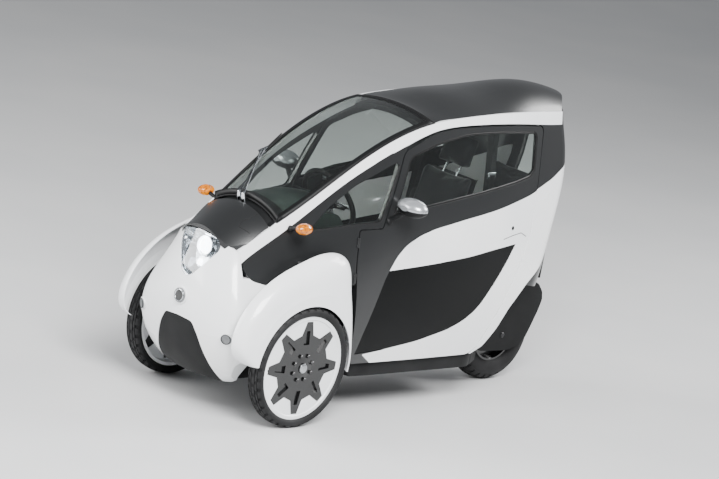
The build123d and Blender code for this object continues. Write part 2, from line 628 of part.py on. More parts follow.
deck_t = 12.0
deck_half_y = 168.0
deck_back_x = -978.0
pan_back_x = -640.0
collar_wall = 12.0
collar_h = 34.0
deck = block(deck_back_x, pan_back_x + pan_wall, -deck_half_y, deck_half_y, deck_low_z, deck_low_z + deck_t)
bulkhead = block(pan_back_x, pan_back_x + pan_wall, -deck_half_y, deck_half_y, floor_low_z, deck_low_z + deck_t)
collar = Pos(rear_axle_x, 0, deck_low_z) * Cylinder(
    head_r + collar_wall, collar_h, align=(Align.CENTER, Align.CENTER, Align.MIN))
head_bore = Pos(rear_axle_x, 0, 0) * Cylinder(head_r + seat_gap, height, align=(Align.CENTER, Align.CENTER, Align.MIN))
floor_tub = largest(half_tub + other_side(half_tub) + bulkhead + (deck + collar - head_bore - tail_shell))

battery_size = (620.0, 420.0, 120.0)
battery_back_x = -420.0
battery_block = Pos(battery_back_x, 0, floor_low_z + floor_t + seat_gap) * Box(
    *battery_size, align=(Align.MIN, Align.CENTER, Align.MIN))


def tyre(radius, section_w, rim_r, rim_w):
    """Round-shouldered tyre as a ring about the wheel's axis."""
    wall_y, bead_y = section_w / 2, rim_w / 2
    belly_r = (radius + rim_r) / 2
    crown_y = wall_y * CROWN_SHARE
    shoulder_r = radius - (radius - rim_r) * SHOULDER_DROP_SHARE
    top = [(crown_y, shoulder_r), (0, radius), (-crown_y, shoulder_r)]
    profile = Wire([ThreePointArc(*[Vector(y, r, 0) for y, r in top]),
                    ThreePointArc(Vector(-crown_y, shoulder_r, 0), Vector(-wall_y, belly_r, 0), Vector(-bead_y, rim_r, 0)),
                    Line(Vector(-bead_y, rim_r, 0), Vector(bead_y, rim_r, 0)),
                    ThreePointArc(Vector(bead_y, rim_r, 0), Vector(wall_y, belly_r, 0), Vector(crown_y, shoulder_r, 0))])
    return revolve(Face(profile), Axis.X)


CROWN_SHARE = 0.72
SHOULDER_DROP_SHARE = 0.22


def ring(outline):
    """Solid turned from a half section (across, radius) about the wheel's axis."""
    return revolve(Face(Wire.make_polygon([Vector(y, r, 0) for y, r in outline], close=True)), Axis.X)


def star_points(count, tip_r, valley_r, tip_half, root_half):
    """Corners of a star of blunt teeth."""
    corners = []
    for i in range(count):
        turn = Rot(360 / count * i, 0, 0)
        for reach, offset in ((valley_r, root_half), (tip_r, tip_half), (tip_r, -tip_half), (valley_r, -root_half)):
            corners.append((turn * Pos(0, offset, reach)).position)
    return corners


STAR_VALLEY_SHARE = 0.70
STAR_TIP_HALF_SHARE = 0.085
STAR_ROOT_HALF_SHARE = 0.165
RIM_LIP_SHARE = 0.06


def star_prism(grow, low, high):
    corners = star_points(front_star_count, front_star_r + grow, front_star_r * STAR_VALLEY_SHARE + grow,
                          front_star_r * STAR_TIP_HALF_SHARE + grow, front_star_r * STAR_ROOT_HALF_SHARE + grow)
    face = Face(Wire.make_polygon(corners, close=True))
    return Pos(low, 0, 0) * extrude(face, amount=high - low, dir=(1, 0, 0))


POCKET_SPAN_SHARES = (0.50, 0.80)
POCKET_HALF_SHARES = (0.085, 0.045)
pocket_floor_t = 7.0


def star_pockets(low, high):
    """Tapered pockets sunk into the arms of the star from its outer face."""
    (inner, outer), (inner_half, outer_half) = POCKET_SPAN_SHARES, POCKET_HALF_SHARES
    corners = [Vector(0, side * half * front_star_r, reach * front_star_r)
               for side, half, reach in ((1, inner_half, inner), (1, outer_half, outer),
                                         (-1, outer_half, outer), (-1, inner_half, inner))]
    face = Face(Wire.make_polygon(corners, close=True))
    pocket = Pos(low, 0, 0) * extrude(face, amount=high - low, dir=(1, 0, 0))
    return [Rot(360 / front_star_count * i, 0, 0) * pocket for i in range(front_star_count)]


def front_wheel_pieces():
    """Tyre, white ring and dark star of a wheel that lies about the X axis, outer face to +X."""
    face_x = front_rim_w / 2
    tyre_piece = tyre(front_tyre_r, front_tyre_w, front_rim_r, front_rim_w)
    lip = front_rim_r * RIM_LIP_SHARE
    rim_out = front_rim_r - seat_gap
    barrel = ring([(-face_x, rim_out), (face_x, rim_out), (face_x, rim_out - lip),
                   (face_x - front_ring_t, rim_out - lip - front_ring_t),
                   (-face_x + front_ring_t, rim_out - lip), (-face_x, rim_out - lip)])
    dish_low, dish_high = face_x - 3 * front_ring_t, face_x - front_ring_t
    dish = ring([(dish_low, front_hub_r), (dish_high, front_hub_r), (dish_high + front_ring_t / 2, rim_out - lip / 2),
                 (dish_low, rim_out - lip / 2)])
    rim_piece = largest((barrel + dish) - star_prism(0, -face_x, face_x + front_ring_t))
    star = star_prism(-seat_gap, dish_low, dish_high + front_ring_t / 2)
    hub = ring([(-front_hub_back, 0), (dish_low + front_disc_t, 0), (dish_low + front_disc_t, front_hub_r),
                (-front_hub_back, front_hub_r)])
    cone = ring([(dish_low, 0), (face_x + front_cap_t, 0), (face_x + front_cap_t, front_cap_r),
                 (face_x, front_cap_r), (dish_high, front_hub_r), (dish_low, front_hub_r)])
    bore = ring([(-front_hub_back - overrun, 0), (dish_low, 0), (dish_low, stub_r + seat_gap),
                 (-front_hub_back - overrun, stub_r + seat_gap)])
    star_piece = largest((star + hub + cone) - bore - star_pockets(dish_low + pocket_floor_t, face_x + front_ring_t))
    return tyre_piece, rim_piece, star_piece


def set_front(piece, side):
    """Stand a wheel piece at its axle, its outer face away from the car."""
    turned = Rot(0, 0, 90 * side) * piece
    return Pos(front_axle_x, side * front_wheel_y, front_tyre_r) * turned


front_pieces = front_wheel_pieces()
for side_name, side in WHEEL_SIDES.items():
    for node, piece in zip(("tyre", "rim", "star"), front_pieces):
        keep(f"front_{node}_{side_name}", set_front(piece, side))

rear_tyre = tyre(rear_tyre_r, rear_tyre_w, rear_rim_r, rear_rim_w)
rear_face = rear_rim_w / 2
rear_out = rear_rim_r - seat_gap
rear_lip = rear_rim_r * RIM_LIP_SHARE
rear_rim = ring([(-rear_face, rear_out), (rear_face, rear_out), (rear_face, rear_out - rear_lip),
                 (rear_disc_t / 2, rear_out - 2 * rear_lip), (rear_disc_t / 2, rear_hub_r), (rear_face - 2 * seat_gap, rear_hub_r),
                 (rear_face - 2 * seat_gap, rear_stub_r + seat_gap), (-rear_face + 2 * seat_gap, rear_stub_r + seat_gap),
                 (-rear_face + 2 * seat_gap, rear_hub_r), (-rear_disc_t / 2, rear_hub_r), (-rear_disc_t / 2, rear_out - 2 * rear_lip),
                 (-rear_face, rear_out - rear_lip)])


def set_rear(piece):
    return Pos(rear_axle_x, 0, rear_tyre_r) * Rot(0, 0, 90) * piece


# Leading arms with their stub axles, links and the tilting yoke, all on one carrier
arm_y_high = tyre_inner_y - arm_gap
arm_y_low = arm_y_high - arm_t
axle_spot_z = front_tyre_r
arm_bar = block(pivot_x, front_axle_x, arm_y_low, arm_y_high, axle_spot_z - arm_h / 2, axle_spot_z + arm_h / 2)
arm_eye = drum(pivot_x, arm_y_low, arm_y_high, axle_spot_z, arm_h / 2)
knuckle = drum(front_axle_x, arm_y_low, arm_y_high, axle_spot_z, arm_h / 2 + arm_t / 2)
star_back_y = front_wheel_y - front_hub_back
stub_end_y = front_wheel_y + front_rim_w / 2 - 3 * front_ring_t - seat_gap
stub = drum(front_axle_x, arm_y_low, stub_end_y, axle_spot_z, stub_r)
pivot_tube = drum(pivot_x, nose_box_half_y + seat_gap, arm_y_high, axle_spot_z, pivot_r)
link_top = Vector(front_axle_x, 0, yoke_z) + Vector(0, nose_box_half_y + arm_t, 0)
link_foot = Vector(front_axle_x - link_foot_back, (arm_y_low + arm_y_high) / 2, axle_spot_z)
link_bar = rod(link_foot, link_top, link_r)
yoke_bar = drum(front_axle_x, 0, nose_box_half_y + arm_t + yoke_r, yoke_z, yoke_r)
left_arm = arm_bar + arm_eye + knuckle + stub + pivot_tube + link_bar + yoke_bar
post_w = 50.0
yoke_post = block(front_axle_x - post_w / 2, front_axle_x + post_w / 2, -post_w / 2, post_w / 2,
                  floor_low_z + floor_t + seat_gap, yoke_z)

# Fenders on the arms: crowned shells over the tyres
# columns: turn about the axle from the nose in degrees, outer radius / width, how full it is at the face
FENDER_ARC_SHARES = (
    (4, 0.3793), (14, 0.4644), (28, 0.4943), (45, 0.5023), (65, 0.5103), (85, 0.5356), (104, 0.5931),
    (116, 0.5977), (124, 0.5287), (135, 0.4575), (152, 0.3908), (172, 0.3586), (186, 0.3494),
)
FENDER_LAYER_SHARES = (
    (0.4000, 1), (0.4322, 0.96), (0.4644, 0.82), (0.4851, 0.58), (0.4966, 0.25),
)
fender_room_depth = 12.0


def fender_section(y, fullness, wall, arch_r):
    """Side outline of the fender at one place across it: a curve over the arch of the wheel."""
    def spot(reach, turn):
        return Vector(front_axle_x + reach * cos(radians(turn)), y, front_tyre_r + reach * sin(radians(turn)))

    base_r = front_tyre_r + fender_gap
    spots = [spot(base_r + (py(reach) - wall - base_r) * fullness, turn) for turn, reach in FENDER_ARC_SHARES]
    first_turn, last_turn = FENDER_ARC_SHARES[0][0], FENDER_ARC_SHARES[-1][0]
    start, crest, stop = [spot(arch_r, turn) for turn in (first_turn, (first_turn + last_turn) / 2, last_turn)]
    return Wire([Line(start, spots[0]), Spline(*spots), Line(spots[-1], stop), ThreePointArc(stop, crest, start)])


fender_arch_r = front_tyre_r + fender_gap
fender_outer = Solid.make_loft([fender_section(py(y), full, 0, fender_arch_r) for y, full in FENDER_LAYER_SHARES])
fender_inner = Solid.make_loft([fender_section(py(y) - fender_wall, full, fender_wall, fender_arch_r - fender_room_depth)
                                for y, full in FENDER_LAYER_SHARES])
fender = largest(fender_outer - fender_inner)
front_fenders = both_sides(fender)

# Stays from the arms to the fender tops
stay_turn_reach = FENDER_ARC_SHARES[5]
stay_r = 8.0
stay_angle = radians(stay_turn_reach[0])
stay_radius = py(stay_turn_reach[1]) - fender_wall - stay_r / 2
stay_spot = Vector(front_axle_x + stay_radius * cos(stay_angle), 0, front_tyre_r + stay_radius * sin(stay_angle))
arm_mid_y = (arm_y_low + arm_y_high) / 2
stay = rod(Vector(front_axle_x, arm_mid_y, axle_spot_z), Vector(stay_spot.X, arm_mid_y, stay_spot.Z), stay_r)
stay = stay + drum(stay_spot.X, arm_mid_y - stay_r, tyre_inner_y + stay_r, stay_spot.Z, stay_r)
left_arm = left_arm + stay
front_suspension = largest(left_arm + other_side(left_arm) + yoke_post - front_fenders)

# Rear fork and fender
fork_y_low = rear_tyre_w / 2 + fork_gap
fork_y_high = fork_y_low + fork_t
fender_r = rear_tyre_r + rear_fender_gap
crown_z = rear_tyre_r + fender_r + rear_fender_wall + moving_gap / 2
fork_leg = block(rear_axle_x - fork_h / 2, rear_axle_x + fork_h / 2, fork_y_low, fork_y_high, rear_tyre_r,
                 crown_z + fork_crown_t)
fork_eye = drum(rear_axle_x, fork_y_low, fork_y_high, rear_tyre_r, fork_h / 2)
rear_stub = drum(rear_axle_x, rear_face - seat_gap, fork_y_high, rear_tyre_r, rear_stub_r)
axle_rod = drum(rear_axle_x, -fork_y_low, fork_y_low, rear_tyre_r, rear_stub_r)
fork_crown = block(rear_axle_x - fork_h / 2, rear_axle_x + fork_h / 2, -fork_y_high, fork_y_high, crown_z,
                   crown_z + fork_crown_t)
half_fork = fork_leg + fork_eye
rear_fork = largest(half_fork + other_side(half_fork) + axle_rod + fork_crown
                    + Pos(rear_axle_x, 0, crown_z + fork_crown_t) * Cylinder(head_r, head_h, align=(Align.CENTER, Align.CENTER, Align.MIN)))

fender_half_w = fork_y_high + moving_gap
REAR_FENDER_SHARES = (
    (-0.3164, 0.1251, 0.3), (-0.3207, 0.2268, 0.5), (-0.3412, 0.3024, 0.6), (-0.3701, 0.3354, 0.5),
    (-0.4009, 0.3450, 0.5), (-0.4435, 0.3436, 0.5), (-0.4776, 0.3326, 0.6), (-0.4947, 0.3024, 0.6),
    (-0.4989, 0.2749, 0.5), (-0.4930, 0.2405, 0.5), (-0.4776, 0.1801, 0.4), (-0.4682, 0.1471, 0.4),
    (-0.4435, 0.1182, 0.4), (-0.4162, 0.1079, 0.4), (-0.3390, 0.1120, 0.4),
)
rear_fender_half_w = fender_half_w + rear_fender_wall
rear_fender_blank = side_prism(REAR_FENDER_SHARES, -rear_fender_half_w, rear_fender_half_w)
rear_fender_room = drum(rear_axle_x, -fender_half_w, fender_half_w, rear_tyre_r, fender_r)
rear_fender_room = rear_fender_room + side_prism(REAR_FENDER_SHARES, -fender_half_w, fender_half_w, -rear_fender_wall)
rear_fender = largest(rear_fender_blank - rear_fender_room - rear_fork)

# Cabin: roll hoop, dashboard with the steering column, seats, steering wheel
HOOP_OUT_SHARES = (
    (0.0000, 0.9704, 0), (0.1379, 0.9622, 0.4), (0.2253, 0.9210, 0.5), (0.2598, 0.7560, 0.3),
    (0.2943, 0.5498, 0.2), (0.3011, 0.2201, 0), (0.0000, 0.2201, 0),
)
hoop_tube = 34.0
HOOP_IN_SHARES = (
    (0.0000, 0.9430, 0), (0.1241, 0.9361, 0.4), (0.1862, 0.9031, 0.5), (0.2207, 0.7560, 0.3),
    (0.2552, 0.5498, 0.2), (0.2621, 0.2201, 0), (0.0000, 0.2201, 0),
)
hoop_x = -470.0
roll_hoop = front_prism(mirrored(HOOP_OUT_SHARES), hoop_x - hoop_tube / 2, hoop_x + hoop_tube / 2)
roll_hoop = largest(roll_hoop - front_prism(mirrored(HOOP_IN_SHARES), hoop_x - hoop_tube, hoop_x + hoop_tube) - roof_panel)

DASH_SIDE_SHARES = (
    (0.3412, 0.4399, 0.3), (0.3284, 0.5759, 0.5), (0.2729, 0.6268, 0.6), (0.2004, 0.6186, 0.6),
    (0.1791, 0.5842, 0.5), (0.1876, 0.5361, 0.5), (0.2388, 0.5086, 0.4), (0.2644, 0.3849, 0.3),
    (0.2985, 0.3574, 0.3),
)
dash_half_y = 190.0
dashboard = side_prism(DASH_SIDE_SHARES, -dash_half_y, dash_half_y)
COLUMN_END_SHARES = (
    (0.2004, 0.0000, 0.5759), (0.1501, 0.0000, 0.6199),
)
column_r = 24.0
column_low, column_high = [Vector(px(x), py(y), pz(z)) for x, y, z in COLUMN_END_SHARES]
dash_foot_half_y = 60.0
DASH_FOOT_X_SHARES = (0.262, 0.296)
DASH_FOOT_TOP_SHARE = 0.38
dash_foot_low, dash_foot_high = [px(share) for share in DASH_FOOT_X_SHARES]
dash_foot = block(dash_foot_low, dash_foot_high, -dash_foot_half_y, dash_foot_half_y,
                  floor_low_z + floor_t + seat_gap, pz(DASH_FOOT_TOP_SHARE))
dashboard = largest(dashboard + rod(column_low, column_high, column_r) + dash_foot)

wheel_tube = 13.0
wheel_r = 150.0
hub_r = 42.0
hub_t = 26.0
axis_run = (column_high - column_low).normalized()
wheel_center = column_high + axis_run * (seat_gap + hub_t / 2)
wheel_plane = Plane(origin=wheel_center, x_dir=(0, 1, 0), z_dir=axis_run)
wheel_rim = wheel_plane * Torus(wheel_r, wheel_tube)
wheel_hub = wheel_plane * Cylinder(hub_r, hub_t)
spoke_w = 26.0
spoke_t = 10.0
cross_spoke = wheel_plane * Box(2 * wheel_r, spoke_w, spoke_t)
down_spoke = wheel_plane * Pos(0, -wheel_r / 2, 0) * Box(spoke_w, wheel_r, spoke_t)
steering_wheel = largest(wheel_rim + wheel_hub + cross_spoke + down_spoke)

# Seats: the driver's on the battery box, the passenger's behind it on the deck
SEAT_BASE_SHARES = (
    (0.0597, 0.2066, 0), (0.0554, 0.2763, 0), (-0.1066, 0.2680, 0), (-0.1279, 0.2066, 0),
)
SEAT_CUSHION_SHARES = (
    (0.0704, 0.2749, 0.5), (0.0725, 0.3107, 0.7), (0.0512, 0.3340, 0.6), (-0.0768, 0.3079, 0.4),
    (-0.1117, 0.3230, 0.2), (-0.1279, 0.3024, 0.5), (-0.1117, 0.2639, 0.3),
)
SEAT_BACK_SHARES = (
    (-0.0904, 0.3107, 0.5), (-0.1697, 0.7079, 0.4), (-0.1791, 0.7230, 0.6), (-0.2004, 0.7148, 0.6),
    (-0.1356, 0.2914, 0.5),
)
HEAD_REST_SHARES = (
    (-0.1697, 0.6942, 0.3), (-0.1928, 0.8179, 0.7), (-0.2090, 0.8399, 0.8), (-0.2269, 0.8247, 0.7),
    (-0.2004, 0.6942, 0.3),
)
REAR_SEAT_SHARES = (
    (-0.2303, 0.4124, 0.6), (-0.2303, 0.3713, 0.3), (-0.3667, 0.3713, 0.3), (-0.4094, 0.7148, 0.5),
    (-0.3902, 0.7285, 0.7), (-0.3753, 0.7079, 0.5), (-0.3369, 0.4811, 0.6), (-0.3113, 0.4399, 0.5),
)
seat_base_half_y = 150.0
cushion_half_y = 190.0
back_half_y = 162.0
head_half_y = 105.0
rear_seat_half_y = 175.0
front_seat = side_prism(SEAT_BASE_SHARES, -seat_base_half_y, seat_base_half_y)
front_seat = front_seat + side_prism(SEAT_CUSHION_SHARES, -cushion_half_y, cushion_half_y)
front_seat = front_seat + side_prism(SEAT_BACK_SHARES, -back_half_y, back_half_y)
front_seat = largest(front_seat + side_prism(HEAD_REST_SHARES, -head_half_y, head_half_y))
rear_seat = side_prism(REAR_SEAT_SHARES, -rear_seat_half_y, rear_seat_half_y)

# Turn signals on short stalks, and the screen wiper
SIGNAL_SPOT_SHARES = (
    (0.3429, 0.3621, 0.6041),
)
signal_half = (46.0, 28.0, 25.0)
signal_spot = [Vector(px(x), py(y), pz(z)) for x, y, z in SIGNAL_SPOT_SHARES][0]
signal_stalk_r = 7.0
SIGNAL_FOOT_SHARE = 0.256
signal_foot = Vector(signal_spot.X, py(SIGNAL_FOOT_SHARE), signal_spot.Z - signal_half[2])
turn_signal = Pos(*signal_spot) * scale(Sphere(1), by=signal_half) + rod(signal_foot, signal_spot, signal_stalk_r)
turn_signal = largest(largest(turn_signal) - front_panel - side_rail)
turn_signals = both_sides(turn_signal)

wiper_gap = 5.0
WIPER_SPOT_SHARES = (
    (0.3761, 0.0000, 0.6543), (0.2985, -0.0690, 0.7299), (0.3241, -0.1724, 0.7024),
    (0.2388, -0.2356, 0.7615),
)
wiper_spots = [Vector(px(x), py(y), pz(z)) for x, y, z in WIPER_SPOT_SHARES]
wiper_r = 5.0
pin_r = 9.0
pin_t = 60.0
wiper_pin = Pos(wiper_spots[0].X, 0, wiper_spots[0].Z - pin_t / 2) * Cylinder(pin_r, pin_t)
wiper = rod(wiper_spots[0], wiper_spots[1], wiper_r) + rod(wiper_spots[2], wiper_spots[3], wiper_r)
wiper = wiper + rod(wiper_spots[1], (wiper_spots[2] + wiper_spots[3]) / 2, wiper_r) + wiper_pin
wiper = largest(wiper - windscreen_frame)

keep("floor_tub", floor_tub)
keep("battery_block", battery_block)
keep("nose_shell", nose_shell)
keep("nose_lower_panel", nose_lower_panel)
keep("headlamp_housing", headlamp_housing)
keep("headlamp_lens", headlamp_lens)
keep("nose_discs", nose_discs)
keep("bonnet", bonnet)
keep("windscreen_frame", windscreen_frame)
keep("windscreen", windscreen)
keep("side_rails", side_rails)
keep("roof_panel", roof_panel)
keep("front_panels", front_panels)
keep("quarter_glasses", quarter_glasses)
keep("rear_quarters", rear_quarters)
keep("tail_shell", tail_shell)
keep("rear_window", rear_window)
keep("tail_lamps", tail_lamps)
keep("plate_panel", plate_panel)
keep("roll_hoop", roll_hoop)
keep("dashboard", dashboard)
keep("front_seat", front_seat)
keep("rear_seat", rear_seat)
keep("turn_signals", turn_signals)
keep("wiper", wiper)
keep("front_fenders", front_fenders)
keep("front_suspension", front_suspension)
keep("steering_wheel", steering_wheel)
keep("rear_fork", rear_fork)
keep("rear_fender", rear_fender)
keep("rear_tyre", set_rear(rear_tyre))
keep("rear_rim", set_rear(rear_rim))
DOOR_PIECES = {"frame": door_frame, "skin": door_skin, "lower_panel": door_lower, "glass": door_glass, "mirror": door_mirror}
for side_name, side in WHEEL_SIDES.items():
    for node, piece in DOOR_PIECES.items():
        keep(f"door_{node}_{side_name}", piece if side > 0 else other_side(piece))
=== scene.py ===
"""Looks of a three-wheeled tandem city car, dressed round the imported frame. Lengths are metres."""
from math import atan2, cos, exp, pi, radians, sin

import bmesh
import bpy
from mathutils import Matrix, Vector


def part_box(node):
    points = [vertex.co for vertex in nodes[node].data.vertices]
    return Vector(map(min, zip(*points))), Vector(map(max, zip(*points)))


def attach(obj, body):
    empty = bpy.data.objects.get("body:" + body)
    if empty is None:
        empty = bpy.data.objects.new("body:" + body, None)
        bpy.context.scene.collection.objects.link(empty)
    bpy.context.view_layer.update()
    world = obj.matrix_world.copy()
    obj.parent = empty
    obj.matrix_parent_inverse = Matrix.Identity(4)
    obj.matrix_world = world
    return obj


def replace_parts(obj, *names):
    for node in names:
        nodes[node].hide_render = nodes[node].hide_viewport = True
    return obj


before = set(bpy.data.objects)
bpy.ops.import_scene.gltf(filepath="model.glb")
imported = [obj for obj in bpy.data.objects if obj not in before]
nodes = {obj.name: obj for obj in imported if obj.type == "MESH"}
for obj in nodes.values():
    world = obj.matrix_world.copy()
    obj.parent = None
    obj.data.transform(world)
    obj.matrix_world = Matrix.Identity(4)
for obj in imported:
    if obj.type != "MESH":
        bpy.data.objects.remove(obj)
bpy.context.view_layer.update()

# Camera: the photograph's long lens and angle, turned with the body's own lean.
# It stands far off, so the near and far wheels are nearly one size.
MM = 0.001
CAMERA_AZIMUTH = radians(131.87)
CAMERA_RISE = radians(12.54)
CAMERA_ROLL = radians(10.78)
CAMERA_DISTANCE = 19.381
CAMERA_TARGET = Vector((0.0868, 0, 0.7147))
back = Vector((sin(CAMERA_AZIMUTH) * cos(CAMERA_RISE), -cos(CAMERA_AZIMUTH) * cos(CAMERA_RISE),
               sin(CAMERA_RISE)))
level_right = Vector((0, 0, 1)).cross(back).normalized()
level_up = back.cross(level_right)
right = level_right * cos(CAMERA_ROLL) + level_up * sin(CAMERA_ROLL)
up = level_up * cos(CAMERA_ROLL) - level_right * sin(CAMERA_ROLL)
lens = bpy.data.cameras.new("camera")
lens.lens, lens.sensor_width, lens.clip_end = 213.7, 36, 200
camera = bpy.data.objects.new("camera", lens)
bpy.context.scene.collection.objects.link(camera)
camera.matrix_world = (Matrix.Translation(CAMERA_TARGET + back * CAMERA_DISTANCE)
                       @ Matrix((right, up, back)).transposed().to_4x4())
bpy.context.scene.camera = camera


# White panels: rails, nose, door skins and rear quarters. Pressed sheet, sprayed pearl white and lacquered,
# so they show a cool gloss with faint orange peel and a slight drift of tone.
def linear(hex_colour):
    """An sRGB hex colour as linear light, with full alpha."""
    parts = [int(hex_colour[i:i + 2], 16) / 255 for i in (1, 3, 5)]
    return [p / 12.92 if p <= 0.04045 else ((p + 0.055) / 1.055) ** 2.4 for p in parts] + [1.0]


def grey(value):
    return [value, value, value, 1.0]


def add(tree, kind, inputs=None, stops=None, **settings):
    """A node with its settings, input values, links and colour stops."""
    made = tree.nodes.new(kind)
    for name, value in settings.items():
        setattr(made, name, value)
    for name, value in (inputs or {}).items():
        if isinstance(value, bpy.types.NodeSocket):
            tree.links.new(value, made.inputs[name])
        else:
            made.inputs[name].default_value = value
    for stop, (position, colour) in zip(made.color_ramp.elements if stops else (), stops or ()):
        stop.position, stop.color = position, colour
    return made


def start_material(name):
    """An empty material, its tree, and Object coordinates in metres."""
    material = bpy.data.materials.new(name)
    material.use_nodes = True
    tree = material.node_tree
    tree.nodes.clear()
    return material, tree, add(tree, "ShaderNodeTexCoord").outputs["Object"]


def close_material(material, tree, shader):
    add(tree, "ShaderNodeOutputMaterial", {"Surface": shader.outputs[0]})
    return material


def scale_of(size_mm):
    """Pattern scale whose grains are about this many millimetres across."""
    return 1 / (size_mm * MM)


def painted(name, base, shade, peel_mm=3.0, peel=0.03, rough=(0.24, 0.34), metallic=0.0, coat=0.8,
            coat_rough=0.06,
            specular=0.5):
    """Sprayed and lacquered surface: a faint drift of tone, orange peel in the lacquer."""
    material, tree, place = start_material(name)
    drift = add(tree, "ShaderNodeTexNoise", {"Vector": place, "Scale": scale_of(420), "Detail": 3.0})
    fine = add(tree, "ShaderNodeTexNoise", {"Vector": place, "Scale": scale_of(peel_mm), "Detail": 2.0})
    colour = add(tree, "ShaderNodeValToRGB", {"Fac": drift.outputs["Fac"]},
                 stops=((0.3, linear(shade)), (0.7, linear(base))))
    polish = add(tree, "ShaderNodeValToRGB", {"Fac": drift.outputs["Fac"]},
                 stops=((0.3, grey(rough[1])), (0.7, grey(rough[0]))))
    bump = add(tree, "ShaderNodeBump", {"Height": fine.outputs["Fac"], "Strength": peel,
                                        "Distance": 0.2 * MM})
    shader = add(tree, "ShaderNodeBsdfPrincipled", {
        "Base Color": colour.outputs["Color"], "Roughness": polish.outputs["Color"], "Metallic": metallic,
        "Normal": bump.outputs["Normal"], "Coat Weight": coat, "Coat Roughness": coat_rough,
        "Specular IOR Level": specular})
    return close_material(material, tree, shader)


def finish(material, *names):
    """Gives the named CAD nodes this material."""
    for name in names:
        nodes[name].data.materials.clear()
        nodes[name].data.materials.append(material)


white_lacquer = painted("white_lacquered_panel", "#f4f5f5", "#e9ebed")
finish(white_lacquer, "side_rails", "nose_shell", "door_skin_left", "door_skin_right", "rear_quarters")

# Front fenders: injection-moulded ABS, painted with the body's white but a little softer in its gloss.
# Each hangs on two steel stays from the wheel's arm.
fender_white = painted("painted_abs_fender", "#f2f3f4", "#e6e8ea", peel_mm=4.0, rough=(0.28, 0.38), coat=0.7)
finish(fender_white, "front_fenders")

# Graphite panels: roof, cheeks, door frames and tail. Paint with fine metal flake, satin under its lacquer,
# which the eye reads as dark grey with a soft sheen.
graphite_paint = painted("graphite_flake_paint", "#232425", "#1a1b1c", peel_mm=1.2, peel=0.06, rough=(0.28,
                                                                                                      0.4),
                         metallic=0.3, coat=0.5, coat_rough=0.16)
finish(graphite_paint, "door_frame_left", "door_frame_right", "front_panels", "tail_shell", "bonnet",
       "roof_panel")


def moulded(name, base, shade, grain_mm=1.6, grain=0.25, rough=(0.5, 0.62), specular=0.3):
    """Moulded plastic, rubber or coating: a grain of small cells, scuffing in its tone."""
    material, tree, place = start_material(name)
    drift = add(tree, "ShaderNodeTexNoise", {"Vector": place, "Scale": scale_of(160), "Detail": 4.0})
    cells = add(tree, "ShaderNodeTexVoronoi", {"Vector": place, "Scale": scale_of(grain_mm)},
                feature="SMOOTH_F1")
    colour = add(tree, "ShaderNodeValToRGB", {"Fac": drift.outputs["Fac"]},
                 stops=((0.3, linear(shade)), (0.7, linear(base))))
    polish = add(tree, "ShaderNodeValToRGB", {"Fac": drift.outputs["Fac"]},
                 stops=((0.3, grey(rough[1])), (0.7, grey(rough[0]))))
    bump = add(tree, "ShaderNodeBump", {"Height": cells.outputs["Distance"], "Strength": grain,
                                        "Distance": 0.15 * MM})
    shader = add(tree, "ShaderNodeBsdfPrincipled", {
        "Base Color": colour.outputs["Color"], "Roughness": polish.outputs["Color"],
        "Normal": bump.outputs["Normal"], "Specular IOR Level": specular})
    return close_material(material, tree, shader)


# Black plastics: lower nose grille panel, screen surround, plate panel and rear fender.
# Unpainted polypropylene, matt with a moulded leather-like grain.
black_plastic = moulded("grained_black_polypropylene", "#0e0f10", "#090a0b", specular=0.22)
finish(black_plastic, "windscreen_frame", "nose_lower_panel", "rear_fender", "plate_panel")

# Lower door panels: smoked polycarbonate over a black carrier, deep and glossy.
# They are pressed into the door skin and lie a little below it.
smoked_panel = painted("smoked_polycarbonate", "#070809", "#040505", peel_mm=6.0, peel=0.01, rough=(0.1,
                                                                                                    0.18),
                       coat=0.04, coat_rough=0.02, specular=0.1)
finish(smoked_panel, "door_lower_panel_left", "door_lower_panel_right")


# Windows: toughened glass, nearly clear with a grey-green edge tint, bonded on a black ceramic border.
# A rubber bead closes the gap to each frame.
def clear(name, tint, rough=0.0, smear=0.04, ior=1.5):
    """See-through sheet with faint wiping smears in its polish."""
    material, tree, place = start_material(name)
    wiped = add(tree, "ShaderNodeTexNoise", {"Vector": place, "Scale": scale_of(70), "Detail": 6.0})
    polish = add(tree, "ShaderNodeValToRGB", {"Fac": wiped.outputs["Fac"]},
                 stops=((0.45, grey(rough)), (0.8, grey(rough + smear))))
    shader = add(tree, "ShaderNodeBsdfPrincipled", {
        "Base Color": linear(tint), "Roughness": polish.outputs["Color"], "IOR": ior,
        "Transmission Weight": 1.0})
    return close_material(material, tree, shader)


window_glass = clear("toughened_window_glass", "#e3e9e6")
finish(window_glass, "windscreen", "quarter_glasses", "rear_window", "door_glass_left", "door_glass_right")
ceramic_border = painted("black_ceramic_border", "#0d0e0f", "#090909", peel_mm=2.0, peel=0.02, rough=(0.4,
                                                                                                      0.5),
                         coat=0.0, specular=0.25)
seal_rubber = moulded("black_seal_rubber", "#141415", "#0d0d0e", grain_mm=1.0, grain=0.2, rough=(0.55, 0.7))


def dress(name, mesh, material, body, sharp=35):
    """The bmesh as a finished piece: merged, faces outward, shaded, riding on its body."""
    bmesh.ops.remove_doubles(mesh, verts=mesh.verts, dist=0.01 * MM)
    bmesh.ops.recalc_face_normals(mesh, faces=mesh.faces)
    data = bpy.data.meshes.new(name)
    mesh.to_mesh(data)
    mesh.free()
    data.materials.append(material)
    data.shade_smooth()
    data.set_sharp_from_angle(angle=radians(sharp))
    made = bpy.data.objects.new(name, data)
    bpy.context.scene.collection.objects.link(made)
    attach(made, body)
    return made


